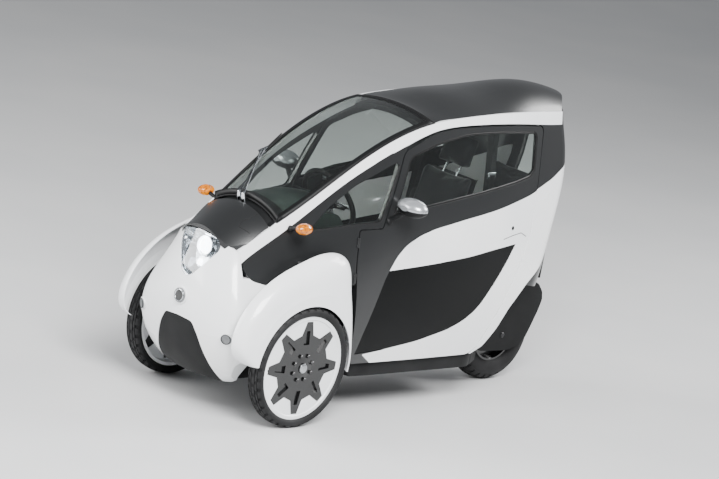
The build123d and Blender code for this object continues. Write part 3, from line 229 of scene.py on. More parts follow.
def outer_skin(node, outward, least=0.3):
    """A merged copy of a node's mesh with only the faces that look outward."""
    skin = bmesh.new()
    skin.from_mesh(nodes[node].data)
    bmesh.ops.remove_doubles(skin, verts=skin.verts, dist=0.02 * MM)
    skin.normal_update()
    away = [face for face in skin.faces if face.normal.dot(Vector(outward).normalized()) < least]
    bmesh.ops.delete(skin, geom=away, context="FACES")
    return skin


def edge_band(name, node, outward, width, lift, thick, material, body):
    """A band along the outline of a pane, lifted off its face."""
    band = outer_skin(node, outward)
    ring = set(bmesh.ops.inset_region(band, faces=band.faces[:], thickness=width, use_boundary=True,
                                      use_even_offset=True)["faces"])
    bmesh.ops.delete(band, geom=[face for face in band.faces if face not in ring], context="FACES")
    band.normal_update()
    for spot in band.verts:
        spot.co += spot.normal * lift
    made = dress(name, band, material, body)
    wall = made.modifiers.new("wall", "SOLIDIFY")
    wall.thickness, wall.offset = thick, -1
    return made


def bead(name, node, outward, radius, lift, material, body):
    """A rubber bead that runs round the outline of a pane."""
    rim = outer_skin(node, outward)
    open_edges = [edge for edge in rim.edges if edge.is_boundary]
    curve = bpy.data.curves.new(name, "CURVE")
    curve.dimensions, curve.bevel_depth, curve.bevel_resolution = "3D", radius * MM, 2
    left = set(open_edges)
    while left:
        first = left.pop()
        walk = [first.verts[0], first.verts[1]]
        while True:
            onward = [edge for edge in walk[-1].link_edges if edge in left]
            if not onward:
                break
            left.discard(onward[0])
            walk.append(onward[0].other_vert(walk[-1]))
        spots = [spot.co + spot.normal * lift * MM for spot in walk[:-1]]
        spline = curve.splines.new("POLY")
        spline.points.add(len(spots) - 1)
        for point, place in zip(spline.points, spots):
            point.co = (*place, 1)
        spline.use_cyclic_u = True
    rim.free()
    curve.materials.append(material)
    made = bpy.data.objects.new(name, curve)
    bpy.context.scene.collection.objects.link(made)
    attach(made, body)
    return made


edge_band("windscreen_border", "windscreen", (0.5, 0, 0.87), 30 * MM, 0.8 * MM, 0.5 * MM, ceramic_border,
          "body")
bead("windscreen_seal", "windscreen", (0.5, 0, 0.87), 4.2, -1.5, seal_rubber, "body")
bead("rear_window_seal", "rear_window", (-1, 0, 0), 4.2, 0, seal_rubber, "body")
SIDES = {"left": 1, "right": -1}
for side, sign in SIDES.items():
    bead(f"quarter_glass_seal_{side}", "quarter_glasses", (0, sign, 0), 3.6, 0, seal_rubber, "body")
    bead(f"door_glass_seal_{side}", f"door_glass_{side}", (0, sign, 0), 3.6, 0, seal_rubber, f"door_{side}")
    edge_band(f"door_glass_border_{side}", f"door_glass_{side}", (0, sign, 0), 14 * MM, 0.8 * MM, 0.5 * MM,
              ceramic_border, f"door_{side}")


# Headlamp: a teardrop polycarbonate lens over a chromed bowl, with one round projector and a low side lamp.
# The bowl is vacuum-plated ABS; the projector's glass is lit, as in the photograph.
def metal(name, base, shade, rough=(0.2, 0.34), grain_mm=1.0, grain=0.05):
    """Plated or bare metal with a slight unevenness in its polish."""
    material, tree, place = start_material(name)
    drift = add(tree, "ShaderNodeTexNoise", {"Vector": place, "Scale": scale_of(25), "Detail": 5.0})
    fine = add(tree, "ShaderNodeTexNoise", {"Vector": place, "Scale": scale_of(grain_mm), "Detail": 2.0})
    colour = add(tree, "ShaderNodeValToRGB", {"Fac": drift.outputs["Fac"]},
                 stops=((0.3, linear(shade)), (0.7, linear(base))))
    polish = add(tree, "ShaderNodeValToRGB", {"Fac": drift.outputs["Fac"]},
                 stops=((0.3, grey(rough[1])), (0.7, grey(rough[0]))))
    bump = add(tree, "ShaderNodeBump", {"Height": fine.outputs["Fac"], "Strength": grain,
                                        "Distance": 0.1 * MM})
    shader = add(tree, "ShaderNodeBsdfPrincipled", {
        "Base Color": colour.outputs["Color"], "Roughness": polish.outputs["Color"], "Metallic": 1.0,
        "Normal": bump.outputs["Normal"]})
    return close_material(material, tree, shader)


def lit_lens(name, base, shade, glow, strength, rib_mm=4.0, coat=0.8):
    """Coloured lamp lens: optics moulded in ribs, a lamp glowing behind them."""
    material, tree, place = start_material(name)
    ribs = add(tree, "ShaderNodeTexWave", {"Vector": place, "Scale": scale_of(rib_mm) / 6, "Distortion": 0.3},
               bands_direction="Y")
    cloud = add(tree, "ShaderNodeTexNoise", {"Vector": place, "Scale": scale_of(18), "Detail": 2.0})
    colour = add(tree, "ShaderNodeValToRGB", {"Fac": ribs.outputs["Fac"]},
                 stops=((0.2, linear(shade)), (0.8, linear(base))))
    light = add(tree, "ShaderNodeValToRGB", {"Fac": cloud.outputs["Fac"]},
                stops=((0.35, linear(shade)), (0.6, linear(glow))))
    bump = add(tree, "ShaderNodeBump", {"Height": ribs.outputs["Fac"], "Strength": 0.4, "Distance": 0.6 * MM})
    shader = add(tree, "ShaderNodeBsdfPrincipled", {
        "Base Color": colour.outputs["Color"], "Roughness": 0.12, "IOR": 1.49, "Coat Weight": coat,
        "Coat Roughness": 0.03, "Normal": bump.outputs["Normal"], "Emission Color": light.outputs["Color"],
        "Emission Strength": strength})
    return close_material(material, tree, shader)


def lathe(profile, centre, axis, steps=48):
    """A profile of (along, radius) pairs in millimetres, spun about an axis through centre."""
    mesh = bmesh.new()
    spots = [mesh.verts.new((radius * MM, 0, along * MM)) for along, radius in profile]
    runs = [mesh.edges.new(pair) for pair in zip(spots, spots[1:])]
    bmesh.ops.spin(mesh, geom=spots + runs, cent=(0, 0, 0), axis=(0, 0, 1), angle=2 * pi, steps=steps,
                   use_merge=True)
    bmesh.ops.remove_doubles(mesh, verts=mesh.verts, dist=0.01 * MM)
    place = Matrix.Translation(Vector(centre) * MM) @ Vector(axis).to_track_quat("Z",
                                                                                 "Y").to_matrix().to_4x4()
    bmesh.ops.transform(mesh, matrix=place, verts=mesh.verts)
    return mesh


def join(target, source):
    """Adds one bmesh to another and frees it."""
    carried = bpy.data.meshes.new("carried")
    source.to_mesh(carried)
    source.free()
    target.from_mesh(carried)
    bpy.data.meshes.remove(carried)
    return target


chrome = metal("vacuum_plated_chrome", "#e4e7ea", "#cfd3d7", rough=(0.06, 0.14), grain=0.02)
satin_silver = metal("satin_silver_plate", "#c4c6c9", "#a9acb0")
lens_clear = clear("clear_polycarbonate_lens", "#fafcfd", smear=0.02, ior=1.58)
finish(lens_clear, "headlamp_lens")
lamp_glow = lit_lens("lit_projector_glass", "#f4f8ff", "#dfe9fb", "#ffffff", 22.0, rib_mm=9.0)

bowl = outer_skin("headlamp_housing", (1, 0, 0.25), 0.35)
bowl_low, bowl_high = [Vector(corner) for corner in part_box("headlamp_housing")]
bowl_mid = (bowl_low + bowl_high) / 2
front_faces = bowl.faces[:]
for share, depth in ((0.97, 0), (0.9, 16), (0.72, 46)):
    grown = bmesh.ops.extrude_face_region(bowl, geom=front_faces)["geom"]
    bmesh.ops.delete(bowl, geom=front_faces, context="FACES_ONLY")
    front_faces = [part for part in grown if isinstance(part, bmesh.types.BMFace)]
    pushed = [part for part in grown if isinstance(part, bmesh.types.BMVert)]
    centre = Matrix.Translation(bowl_mid)
    bmesh.ops.transform(bowl, matrix=centre @ Matrix.Diagonal((1, share, share, 1)) @ centre.inverted(),
                        verts=pushed)
    bmesh.ops.translate(bowl, vec=(-depth * MM, 0, 0), verts=pushed)
headlamp_bowl = dress("headlamp_bowl", bowl, chrome, "body")
bowl_wall = headlamp_bowl.modifiers.new("wall", "SOLIDIFY")
bowl_wall.thickness, bowl_wall.offset = 1.2 * MM, -1
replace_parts(headlamp_bowl, "headlamp_housing")
LAMP_AIM = (1, 0, 0.12)
LAMP_SPOT = (1062, 0, 722)
projector_ring = lathe(((-26, 30), (-10, 48), (14, 50), (17, 47), (15, 43), (-4, 40), (-26, 30)), LAMP_SPOT,
                       LAMP_AIM)
dress("projector_ring", projector_ring, satin_silver, "body")
dress("projector_glass", lathe(((-6, 40.5), (4, 38), (11, 30), (16, 18), (18, 0)), LAMP_SPOT, LAMP_AIM),
      lamp_glow,
      "body")
low_lamps = lathe(((-8, 0), (-8, 14), (4, 16), (9, 12), (11, 0)), (1082, 0, 648), LAMP_AIM, 32)
dress("side_lamp_glass", low_lamps, lamp_glow, "body")


# Nose discs: two round sensor caps in the cheeks and a plain chrome-edged disc between them.
# Grey plate over ABS, pressed into their bosses; the two caps each have a black gasket.
finish(metal("grey_plated_abs", "#8f9192", "#7b7d7f", rough=(0.34, 0.44)), "nose_discs")


def on_skin(node, spot, toward):
    """Where a line from spot, in millimetres, meets a node's surface, and the surface's normal there."""
    hit, place, normal, _ = nodes[node].ray_cast(Vector(spot) * MM, Vector(toward).normalized())
    return (place, normal) if hit else (None, None)


bpy.context.view_layer.update()
for side, sign in SIDES.items():
    place, normal = on_skin("nose_discs", (1400, sign * 273, 378), (-1, 0, 0))
    if place:
        seat = place / MM
        gasket = lathe(((-1, 20.4), (-1, 23.4), (0.9, 23.2), (1.3, 22), (1, 20.6), (-1, 20.4)), seat,
                       normal, 56)
        dress(f"cheek_gasket_{side}", gasket, seal_rubber, "body")
place, normal = on_skin("nose_discs", (1400, 0, 501), (-1, 0, 0))
if place:
    rim = lathe(((-0.6, 27.4), (2, 27), (2.9, 25.6), (2.6, 23.8), (1.2, 22.6), (-0.6, 22.6), (-0.6, 27.4)),
                place / MM, normal,
                72)
    dress("nose_disc_rim", rim, chrome, "body")
    inlay = lathe(((-0.4, 0), (-0.4, 22.6), (0.8, 22.6), (1.3, 20), (1.5, 0)), place / MM, normal, 72)
    dress("nose_disc_inlay", inlay, painted("gloss_black_abs", "#0b0b0c", "#070708", rough=(0.12, 0.2),
                                            coat=0.6), "body")


# Seams and slots: lines cut by the service lid in the bonnet and by the door handles.
# They are narrow black gaps, drawn as thin gasket strips that sit in the skin.
def strip_on(name, node, spots, toward, half_w, material, body, steps=10):
    """A thin strip laid on a node's surface along a path of points, in millimetres."""
    path = []
    for first, last in zip(spots, spots[1:]):
        for i in range(steps):
            blend = Vector(first).lerp(Vector(last), i / steps)
            place, _ = on_skin(node, blend - Vector(toward) * 300, toward)
            if place:
                path.append(place)
    place, _ = on_skin(node, Vector(spots[-1]) - Vector(toward) * 300, toward)
    if place:
        path.append(place)
    curve = bpy.data.curves.new(name, "CURVE")
    curve.dimensions, curve.use_fill_caps = "3D", True
    curve.bevel_depth, curve.bevel_resolution = half_w * MM, 1
    spline = curve.splines.new("POLY")
    spline.points.add(len(path) - 1)
    for point, place in zip(spline.points, path):
        point.co = (*place, 1)
    curve.materials.append(material)
    made = bpy.data.objects.new(name, curve)
    bpy.context.scene.collection.objects.link(made)
    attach(made, body)
    return made


strip_on("bonnet_lid_gap", "bonnet", ((900, 128, 921), (950, 118, 890), (975, 100, 860), (991, 104, 819),
                                      (960, 150, 792)),
         (-0.5, -0.3, -0.8), 1.4, seal_rubber, "body")
for side, sign in SIDES.items():
    door = f"door_{side}"
    handle = ((-520, sign * 600, 790), (-590, sign * 600, 804), (-655, sign * 600, 812), (-700, sign * 600,
                                                                                          792))
    strip_on(f"door_handle_slot_{side}", f"door_skin_{side}", [Vector(spot) + Vector((0, -sign * 300,
                                                                                      0)) for spot in handle],
             (0, -sign, 0), 1.6, seal_rubber, door)
    place, normal = on_skin(f"door_skin_{side}", (-582, sign * 700, 839), (0, -sign, 0))
    if place:
        barrel = lathe(((-1, 0), (-1, 9), (1.4, 9), (2, 8), (2, 6.4), (0.8, 6), (0.8, 0)), place / MM,
                       normal, 32)
        dress(f"door_key_barrel_{side}", barrel, black_plastic, door)

# Turn signals: amber acrylic pods on short black stalks, each with a silver backing cup.
# They are lit in the photograph.
amber_lens = lit_lens("amber_acrylic_lens", "#9a5200", "#743200", "#ff9c00", 0.85, coat=0.25)
finish(amber_lens, "turn_signals")
for side, sign in SIDES.items():
    cup = lathe(((-31, 0), (-31, 12), (-24, 20), (-10, 27.2), (-6, 27.4), (-6, 25.6)), (804, sign * 315,
                                                                                        879), (1, 0, 0), 40)
    bmesh.ops.scale(cup, vec=(1, 1, 0.92), verts=cup.verts,
                    space=Matrix.Translation(-Vector((804, sign * 315, 879)) * MM))
    dress(f"signal_cup_{side}", cup, satin_silver, "body")
    foot, top = Vector((804, sign * 231, 856.3)), Vector((804, sign * 297, 874.1))
    reach = (top - foot).length
    sleeve = lathe(((0, 16), (10, 14.5), (15, 9), (reach, 8.4), (reach, 6)), foot, top - foot, 40)
    dress(f"signal_stalk_sleeve_{side}", sleeve, black_plastic, "body")

# Door mirrors: silver-painted shells on a black foot, with a plane glass in the face that looks back.
# The glass is chromed behind and edged by a thin rubber bead.
# A black sheet over each shell's downward-facing faces is painted shade.
silver_paint = painted("silver_flake_paint", "#b9bcbf", "#a6a9ad", rough=(0.22, 0.3), metallic=0.65)
mirror_glass = metal("silvered_mirror_glass", "#eef1f3", "#e4e8ea", rough=(0.01, 0.03), grain=0.0)
finish(silver_paint, "door_mirror_left", "door_mirror_right")
for side, sign in SIDES.items():
    face = (207, sign * 410, 986)
    for label, rings, material in (
            ("bead", ((-1, 33), (1.6, 33.6), (2.4, 32.6), (2.2, 31), (-1, 30.6)), seal_rubber),
            ("glass", ((0.2, 0), (0.2, 31), (-1, 31)), mirror_glass)):
        part = lathe(rings, face, (-1, 0, 0), 64)
        bmesh.ops.scale(part, vec=(1, 1.92, 1), verts=part.verts,
                        space=Matrix.Translation(-Vector(face) * MM))
        dress(f"mirror_{label}_{side}", part, material, f"door_{side}")
    foot = lathe(((-4, 21), (3, 20), (9, 14), (20, 12.5)), (266, sign * 314, 900), (-0.35, sign, 0.97), 40)
    dress(f"mirror_foot_{side}", foot, black_plastic, f"door_{side}")
    low, high = Vector((266, sign * 306, 893)), Vector((236, sign * 410, 986))
    reach = (high - low).length
    sleeve = lathe(((0.04 * reach, 12.2), (0.06 * reach, 12.8), (0.72 * reach, 12.4), (0.74 * reach, 11)),
                   low, high - low, 40)
    dress(f"mirror_stalk_sleeve_{side}", sleeve, black_plastic, f"door_{side}")
    # Painted shade: a black plastic sheet laid over the shell's downward-facing faces darkens its underside,
    # where shade falls.
    underside_shade = outer_skin(f"door_mirror_{side}", (0, 0, -1), 0.2)
    for spot in underside_shade.verts:
        spot.co += spot.normal * 0.7 * MM
    underside_shade = dress(f"mirror_underside_shade_{side}", underside_shade, black_plastic, f"door_{side}")
    underside_shade_wall = underside_shade.modifiers.new("wall", "SOLIDIFY")
    underside_shade_wall.thickness, underside_shade_wall.offset = 0.6 * MM, -1


# Wiper: a pantograph of two slim arms from the cowl, burnished steel on plated pivots.
# They carry a rubber blade that parks along the right pillar.
def rod(mesh, start, end, radius, steps=16):
    """Adds a round bar with softened ends between two points, in millimetres."""
    run = Vector(end) - Vector(start)
    soft = min(1.0, radius * 0.4)
    profile = ((0, 0), (0, radius - soft), (soft, radius), (run.length - soft, radius), (run.length,
                                                                                         radius - soft),
               (run.length, 0))
    return join(mesh, lathe(profile, start, run, steps))


def block(centre, size, soften, turn=None, segments=3):
    """A block with rounded edges, in millimetres, turned by a matrix about its centre."""
    mesh = bmesh.new()
    bmesh.ops.create_cube(mesh, size=1)
    bmesh.ops.scale(mesh, vec=Vector(size) * MM, verts=mesh.verts)
    bmesh.ops.bevel(mesh, geom=mesh.edges[:], offset=soften * MM, affect="EDGES", segments=segments,
                    profile=0.5,
                    material=-1)
    place = Matrix.Translation(Vector(centre) * MM) @ (turn or Matrix.Identity(4))
    bmesh.ops.transform(mesh, matrix=place, verts=mesh.verts)
    return mesh


wiper_steel = metal("burnished_wiper_steel", "#7d8084", "#54575a", rough=(0.2, 0.3))
def above_glass(x, y, lift):
    """A point this far above the windscreen, in millimetres."""
    place, _ = on_skin("windscreen", (x, y, 1700), (0, 0, -1))
    return Vector((x, y, (place.z / MM if place else 1000) + lift))


blade_low, blade_high = above_glass(742, -188, 15), above_glass(486, -216, 15)
blade_mid = blade_low.lerp(blade_high, 0.46)
cowl_spots = ((884, -8, 948), (874, -44, 948))
lift_spots = [blade_mid + Vector((10, 12, 34)), blade_mid + Vector((-16, 12, 42))]
arms = bmesh.new()
for foot, top in zip(cowl_spots, lift_spots):
    rod(arms, foot, top, 4.2)
    rod(arms, top + Vector((0, 5, 5)), top - Vector((0, 2, 26)), 6)
rod(arms, lift_spots[0] + Vector((14, 0, -6)), lift_spots[1] + Vector((-14, 0, 4)), 5)
wiper_arms = dress("wiper_arms", arms, wiper_steel, "body")
pivots = bmesh.new()
for foot in cowl_spots:
    join(pivots, lathe(((-40, 11), (-6, 11), (0, 9), (8, 9), (10, 7), (10, 0)), foot, (0.3, 0, 1), 32))
dress("wiper_pivots", pivots, chrome, "body")
blade = bmesh.new()
rod(blade, blade_low, blade_high, 4.5)
rod(blade, blade_low + Vector((-6, 0, 9)), blade_high + Vector((6, 0, 9)), 3)
wiper_blade = dress("wiper_blade", blade, seal_rubber, "body")
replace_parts(wiper_arms, "wiper")
for side, sign in SIDES.items():
    cap = block((871, sign * 181.5, 871.2), (54, 27, 3.4), 1.4, Matrix.Rotation(radians(33.2), 4, "Y"))
    dress(f"cowl_end_cap_{side}", cap, black_plastic, "body")


# Front wheels: radial scooter tyres on white steel rings, each with a black eight-point cast star
# that covers the hub motor. The cap in the middle is a bare silver disc.
tyre_rubber = moulded("carbon_black_tyre_rubber", "#1d1d1e", "#121213", grain_mm=2.5, grain=0.3,
                      rough=(0.62, 0.78))
ring_coat = painted("white_powder_coated_ring", "#eef0f1", "#e2e5e7", peel_mm=1.5, peel=0.05, rough=(0.3,
                                                                                                     0.4),
                                                                                                     coat=0.3)
star_coat = painted("black_powder_coated_casting", "#0f1011", "#0a0a0b", peel_mm=1.2, peel=0.06, rough=(0.2,
                                                                                                        0.3),
                    metallic=0.3, coat=0.7, coat_rough=0.08)
finish(ring_coat, "front_rim_left", "front_rim_right")
finish(star_coat, "front_star_left", "front_star_right", "rear_rim")
FRONT_TREAD = ((30, 236.6), (36, 241), (40.2, 248), (41, 255), (39.6, 261), (38, 262.5), (38, 264.4), (35.5,
                                                                                                       268.2),
               (30, 271.4), (26.5, 272.4), (25.6, 269.6), (22.8, 269.8), (22, 273.2), (12.6, 274.4), (11.6,
                                                                                                      271.2),
               (8.6, 271.3), (7.8, 274.7), (0, 275))


def tyre(half_profile, inner_r, centre, pitch_steps, blocks):
    """A tyre spun from half its section, with blocks sunk into its tread every third step."""
    half = list(half_profile)
    whole = half + [(-along, radius) for along, radius in reversed(half[:-1])]
    ring = [(along, radius) for along, radius in whole] + [(whole[-1][0], inner_r), (whole[0][0], inner_r),
                                                           whole[0]]
    mesh = lathe(ring, (0, 0, 0), (0, 1, 0), pitch_steps)
    for low, high, turn, sunk in blocks:
        chosen = []
        for face in mesh.faces:
            middle = face.calc_center_median()
            step = int((atan2(middle.z, middle.x) + pi) / (2 * pi) * pitch_steps)
            outward = Vector((middle.x, 0, middle.z)).length / MM > inner_r + 20
            if outward and low < abs(middle.y) / MM < high and (step + turn) % 3 == 0:
                chosen.append(face)
        bmesh.ops.inset_individual(mesh, faces=chosen, thickness=0.8 * MM, depth=-sunk * MM,
                                   use_even_offset=True)
    bmesh.ops.translate(mesh, vec=Vector(centre) * MM, verts=mesh.verts)
    return mesh


FRONT_BLOCKS = ((26.5, 38, 0, 2.6), (12.8, 22, 1, 2.4), (0, 7.6, 2, 2.0))
for side, sign in SIDES.items():
    hub = (770, sign * 395, 275)
    wheel = f"front_wheel_{side}"
    tread = tyre(FRONT_TREAD, 236.4, hub, 108, FRONT_BLOCKS)
    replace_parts(dress(f"front_tyre_treaded_{side}", tread, tyre_rubber, wheel, 28), f"front_tyre_{side}")
    cap = lathe(((33, 22), (35, 22), (37.4, 20.4), (38.4, 17), (39, 0)), hub, (0, sign, 0), 48)
    dress(f"front_cap_{side}", cap, satin_silver, wheel)
    nuts = bmesh.new()
    for i in range(8):
        turn = 2 * pi * (i + 0.5) / 8
        seat = Vector(hub) + Vector((58 * cos(turn), sign * 29, 58 * sin(turn)))
        join(nuts, lathe(((0, 9), (6, 9), (8, 7), (8, 0)), seat, (0, sign, 0), 6))
    dress(f"front_nuts_{side}", nuts, star_coat, wheel, 20)
    disc = lathe(((-12, 60), (-12, 118), (-15, 118), (-15, 60), (-12, 60)), hub, (0, sign, 0), 64)
    dress(f"front_brake_disc_{side}", disc, satin_silver, wheel, 30)
    valve = rod(bmesh.new(), (770 + 190, sign * 412, 275), (770 + 215, sign * 424, 275), 3.6)
    dress(f"front_valve_{side}", valve, seal_rubber, wheel)

# Rear wheel: a wide small tyre on a cast black wheel between the fork's legs.
# Its nuts show beside the fork.
REAR_TREAD = ((43, 141), (50, 147), (58, 164), (61, 184), (59.5, 201), (57.6, 204), (57.6, 207), (53, 216),
              (45, 223.6),
              (38, 227.4), (36.6, 223.6), (32.6, 224.8), (31, 229.8), (18, 233), (16.6, 229), (12.6, 229.6),
              (11, 234.2),
              (0, 235))
REAR_BLOCKS = ((39, 57, 0, 3.2), (19, 30, 1, 3.0), (0, 10.6, 2, 2.6))
rear_hub = (-930, 0, 235)
rear_tread = tyre(REAR_TREAD, 140.6, rear_hub, 90, REAR_BLOCKS)
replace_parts(dress("rear_tyre_treaded", rear_tread, tyre_rubber, "rear_wheel", 28), "rear_tyre")
for side, sign in SIDES.items():
    nuts = bmesh.new()
    for i in range(5):
        turn = 2 * pi * i / 5
        seat = Vector(rear_hub) + Vector((46 * cos(turn), sign * 42, 46 * sin(turn)))
        join(nuts, lathe(((0, 8), (5, 8), (7, 6), (7, 0)), seat, (0, sign, 0), 6))
    dress(f"rear_nuts_{side}", nuts, satin_silver, "rear_wheel", 20)

# Running gear: leading arms, knuckles, links and the tilting yoke, welded steel under black chassis paint.
# Zinc-plated hexagon bolts close their joints.
chassis_paint = painted("black_chassis_paint", "#161719", "#0e0f10", peel_mm=2.0, peel=0.1, rough=(0.38,
                                                                                                   0.52),
                        metallic=0.3, coat=0.2, coat_rough=0.3)
finish(chassis_paint, "front_suspension", "rear_fork", "roll_hoop")
zinc_plate = metal("zinc_plated_bolt", "#b4b3aa", "#97958c", rough=(0.28, 0.42))
for side, sign in SIDES.items():
    bolts = bmesh.new()
    for x, z, radius in ((770, 275, 15), (410, 275, 13), (680, 275, 8), (560, 275, 8), (490, 275, 8)):
        seat = (x, sign * (324 if radius > 8 else 320), z)
        join(bolts, lathe(((-12, radius), (-4, radius), (0, radius * 0.8), (0, 0)), seat, (0, -sign, 0), 6))
    dress(f"arm_bolts_{side}", bolts, zinc_plate, "body", 20)

# Rear axle: a flanged steel nut outside each fork leg clamps the wheel's axle.
# The nuts are painted with the fork.
axle_nuts = bmesh.new()
for sign in SIDES.values():
    join(axle_nuts, lathe(((-1, 20), (3, 20), (3, 14), (13, 14), (15, 11), (15, 0)), (-930, sign * 80, 235),
                          (0, sign, 0), 6))
dress("rear_axle_nuts", axle_nuts, chassis_paint, "rear_steer", 20)


# Cabin trim: the dash is soft-touch foam skin over a moulded carrier, with a hooded display.
# The steering wheel has a leather-wrapped rim, a bare hub pad and two column stalks.
dash_skin = moulded("soft_touch_dash_skin", "#39433f", "#2b3431", grain_mm=2.2, grain=0.3, rough=(0.42, 0.55))
finish(dash_skin, "dashboard")
dome = bmesh.new()
bmesh.ops.create_uvsphere(dome, u_segments=48, v_segments=24, radius=1)
bmesh.ops.bisect_plane(dome, geom=dome.verts[:] + dome.edges[:] + dome.faces[:], plane_co=(0, 0, -0.1),
                       plane_no=(0, 0, 1), clear_inner=True)
bmesh.ops.holes_fill(dome, edges=[edge for edge in dome.edges if edge.is_boundary], sides=0)
bmesh.ops.scale(dome, vec=(0.185, 0.184, 0.052), verts=dome.verts)
bmesh.ops.rotate(dome, cent=(0, 0, 0), matrix=Matrix.Rotation(radians(7), 3, "Y"), verts=dome.verts)
bmesh.ops.translate(dome, vec=(0.6, 0, 0.897), verts=dome.verts)
dress("dash_top_pad", dome, dash_skin, "body", 50)
hood = block((452, 0, 925), (70, 230, 46), 18, Matrix.Rotation(radians(-16), 4, "Y"))
dress("display_hood", hood, black_plastic, "body")
display_glass = painted("dark_display_glass", "#10151a", "#0a0d10", peel_mm=8.0, peel=0.0, rough=(0.05,
                                                                                                  0.1),
                                                                                                  coat=1.0,
                        coat_rough=0.01)
screen = block((417.5, 0, 916), (3, 196, 32), 1.2, Matrix.Rotation(radians(-16), 4, "Y"))
dress("display_screen", screen, display_glass, "body")
WHEEL_MID = Vector((340.3, 0, 908.3))
WHEEL_AXIS = Vector((-0.879, 0, 0.4768))
leather = moulded("black_wheel_leather", "#1b1a19", "#121111", grain_mm=1.8, grain=0.45, rough=(0.42, 0.55))
rim_ring = [(12.4 * sin(2 * pi * i / 20), 150 + 12.4 * cos(2 * pi * i / 20)) for i in range(21)]
grip = dress("steering_grip", lathe(rim_ring, WHEEL_MID, WHEEL_AXIS, 96), leather, "steering_wheel", 60)
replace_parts(grip, "steering_wheel")
wheel_turn = WHEEL_AXIS.to_track_quat("Z", "Y").to_matrix().to_4x4()
pad = lathe(((-12, 0), (-12, 34), (-4, 44), (6, 46), (12, 40), (15, 26), (16, 0)), WHEEL_MID, WHEEL_AXIS, 48)
dress("steering_hub_pad", pad, black_plastic, "steering_wheel")
spokes = bmesh.new()
for turn in (0, 90, 180):
    arm = block((0, 0, 0), (24, 106, 11), 5)
    bmesh.ops.translate(arm, vec=(0, 0.094, 0), verts=arm.verts)
    bmesh.ops.rotate(arm, cent=(0, 0, 0), matrix=Matrix.Rotation(radians(turn), 3, "Z"), verts=arm.verts)
    bmesh.ops.transform(arm, matrix=Matrix.Translation(WHEEL_MID * MM) @ wheel_turn, verts=arm.verts)
    join(spokes, arm)
dress("steering_spokes", spokes, satin_silver, "steering_wheel")
stalks = bmesh.new()
for sign in SIDES.values():
    rod(stalks, (372, sign * 18, 888), (352, sign * 96, 896), 5)
    rod(stalks, (352, sign * 90, 896), (350, sign * 112, 898), 7)
dress("column_stalks", stalks, black_plastic, "body")

# Pedals and floor mat: two rubber-faced steel pads on cranked levers, and a ribbed rubber mat.
# The mat lies in the front footwell between the sills.
pedals = bmesh.new()
pedal_faces = bmesh.new()
for y, wide in ((-70, 46), (52, 78)):
    rod(pedals, (700, y, 520), (640, y, 330), 6)
    rod(pedals, (640, y, 330), (622, y, 300), 6)
    join(pedal_faces, block((618, y, 296), (10, wide, 62), 4, Matrix.Rotation(radians(28), 4, "Y")))
dress("pedal_levers", pedals, chassis_paint, "body")
dress("pedal_pads", pedal_faces, seal_rubber, "body")
mat_rubber = moulded("ribbed_mat_rubber", "#1f2022", "#151617", grain_mm=3.0, grain=0.4, rough=(0.6, 0.75))
mat = block((395, 0, 184), (330, 330, 6), 2.5)
for i in range(12):
    join(mat, block((245 + i * 27, 0, 188), (9, 300, 4), 1.5))
dress("footwell_mat", mat, mat_rubber, "body")


# Seats: one driver's bucket on a plastic base and one rear pad, foam under woven cloth,
# with sewn channels across the cushion and down the backrest.
def woven(name, base, thread, thread_mm=2.4):
    """Plain weave of two thread directions with slubs, drawn coarse enough to show, under soft sheen."""
    material, tree, place = start_material(name)
    warp = add(tree, "ShaderNodeTexWave", {"Vector": place, "Scale": scale_of(thread_mm) / 6.3,
                                           "Distortion": 0.6},
               bands_direction="Y")
    weft = add(tree, "ShaderNodeTexWave", {"Vector": place, "Scale": scale_of(thread_mm) / 6.3,
                                           "Distortion": 0.6},
               bands_direction="DIAGONAL")
    crossed = add(tree, "ShaderNodeMath", {0: warp.outputs["Fac"], 1: weft.outputs["Fac"]},
                  operation="MULTIPLY")
    slub = add(tree, "ShaderNodeTexNoise", {"Vector": place, "Scale": scale_of(22), "Detail": 4.0})
    mixed = add(tree, "ShaderNodeMath", {0: crossed.outputs["Value"], 1: slub.outputs["Fac"]},
                operation="MULTIPLY")
    colour = add(tree, "ShaderNodeValToRGB", {"Fac": mixed.outputs["Value"]},
                 stops=((0.05, linear(base)), (0.55, linear(thread))))
    bump = add(tree, "ShaderNodeBump", {"Height": crossed.outputs["Value"], "Strength": 0.5,
                                        "Distance": 0.6 * MM})
    shader = add(tree, "ShaderNodeBsdfPrincipled", {
        "Base Color": colour.outputs["Color"], "Roughness": 0.86, "Normal": bump.outputs["Normal"],
        "Sheen Weight": 0.35, "Sheen Roughness": 0.4})
    return close_material(material, tree, shader)


seat_cloth = woven("woven_seat_cloth", "#141517", "#3a3c40")
side_cloth = woven("woven_side_cloth", "#0e0f10", "#232427")


def slab(outline, half_y, soften):
    """A pad cut from its side outline, in millimetres, with rounded edges."""
    mesh = bmesh.new()
    corners = [mesh.verts.new((x * MM, -half_y * MM, z * MM)) for x, z in outline]
    side_face = mesh.faces.new(corners)
    grown = bmesh.ops.extrude_face_region(mesh, geom=[side_face])["geom"]
    bmesh.ops.translate(mesh, vec=(0, 2 * half_y * MM, 0),
                        verts=[part for part in grown if isinstance(part, bmesh.types.BMVert)])
    bmesh.ops.recalc_face_normals(mesh, faces=mesh.faces)
    bmesh.ops.bevel(mesh, geom=mesh.edges[:], offset=soften * MM, affect="EDGES", segments=3, profile=0.5,
                    material=-1)
    return mesh


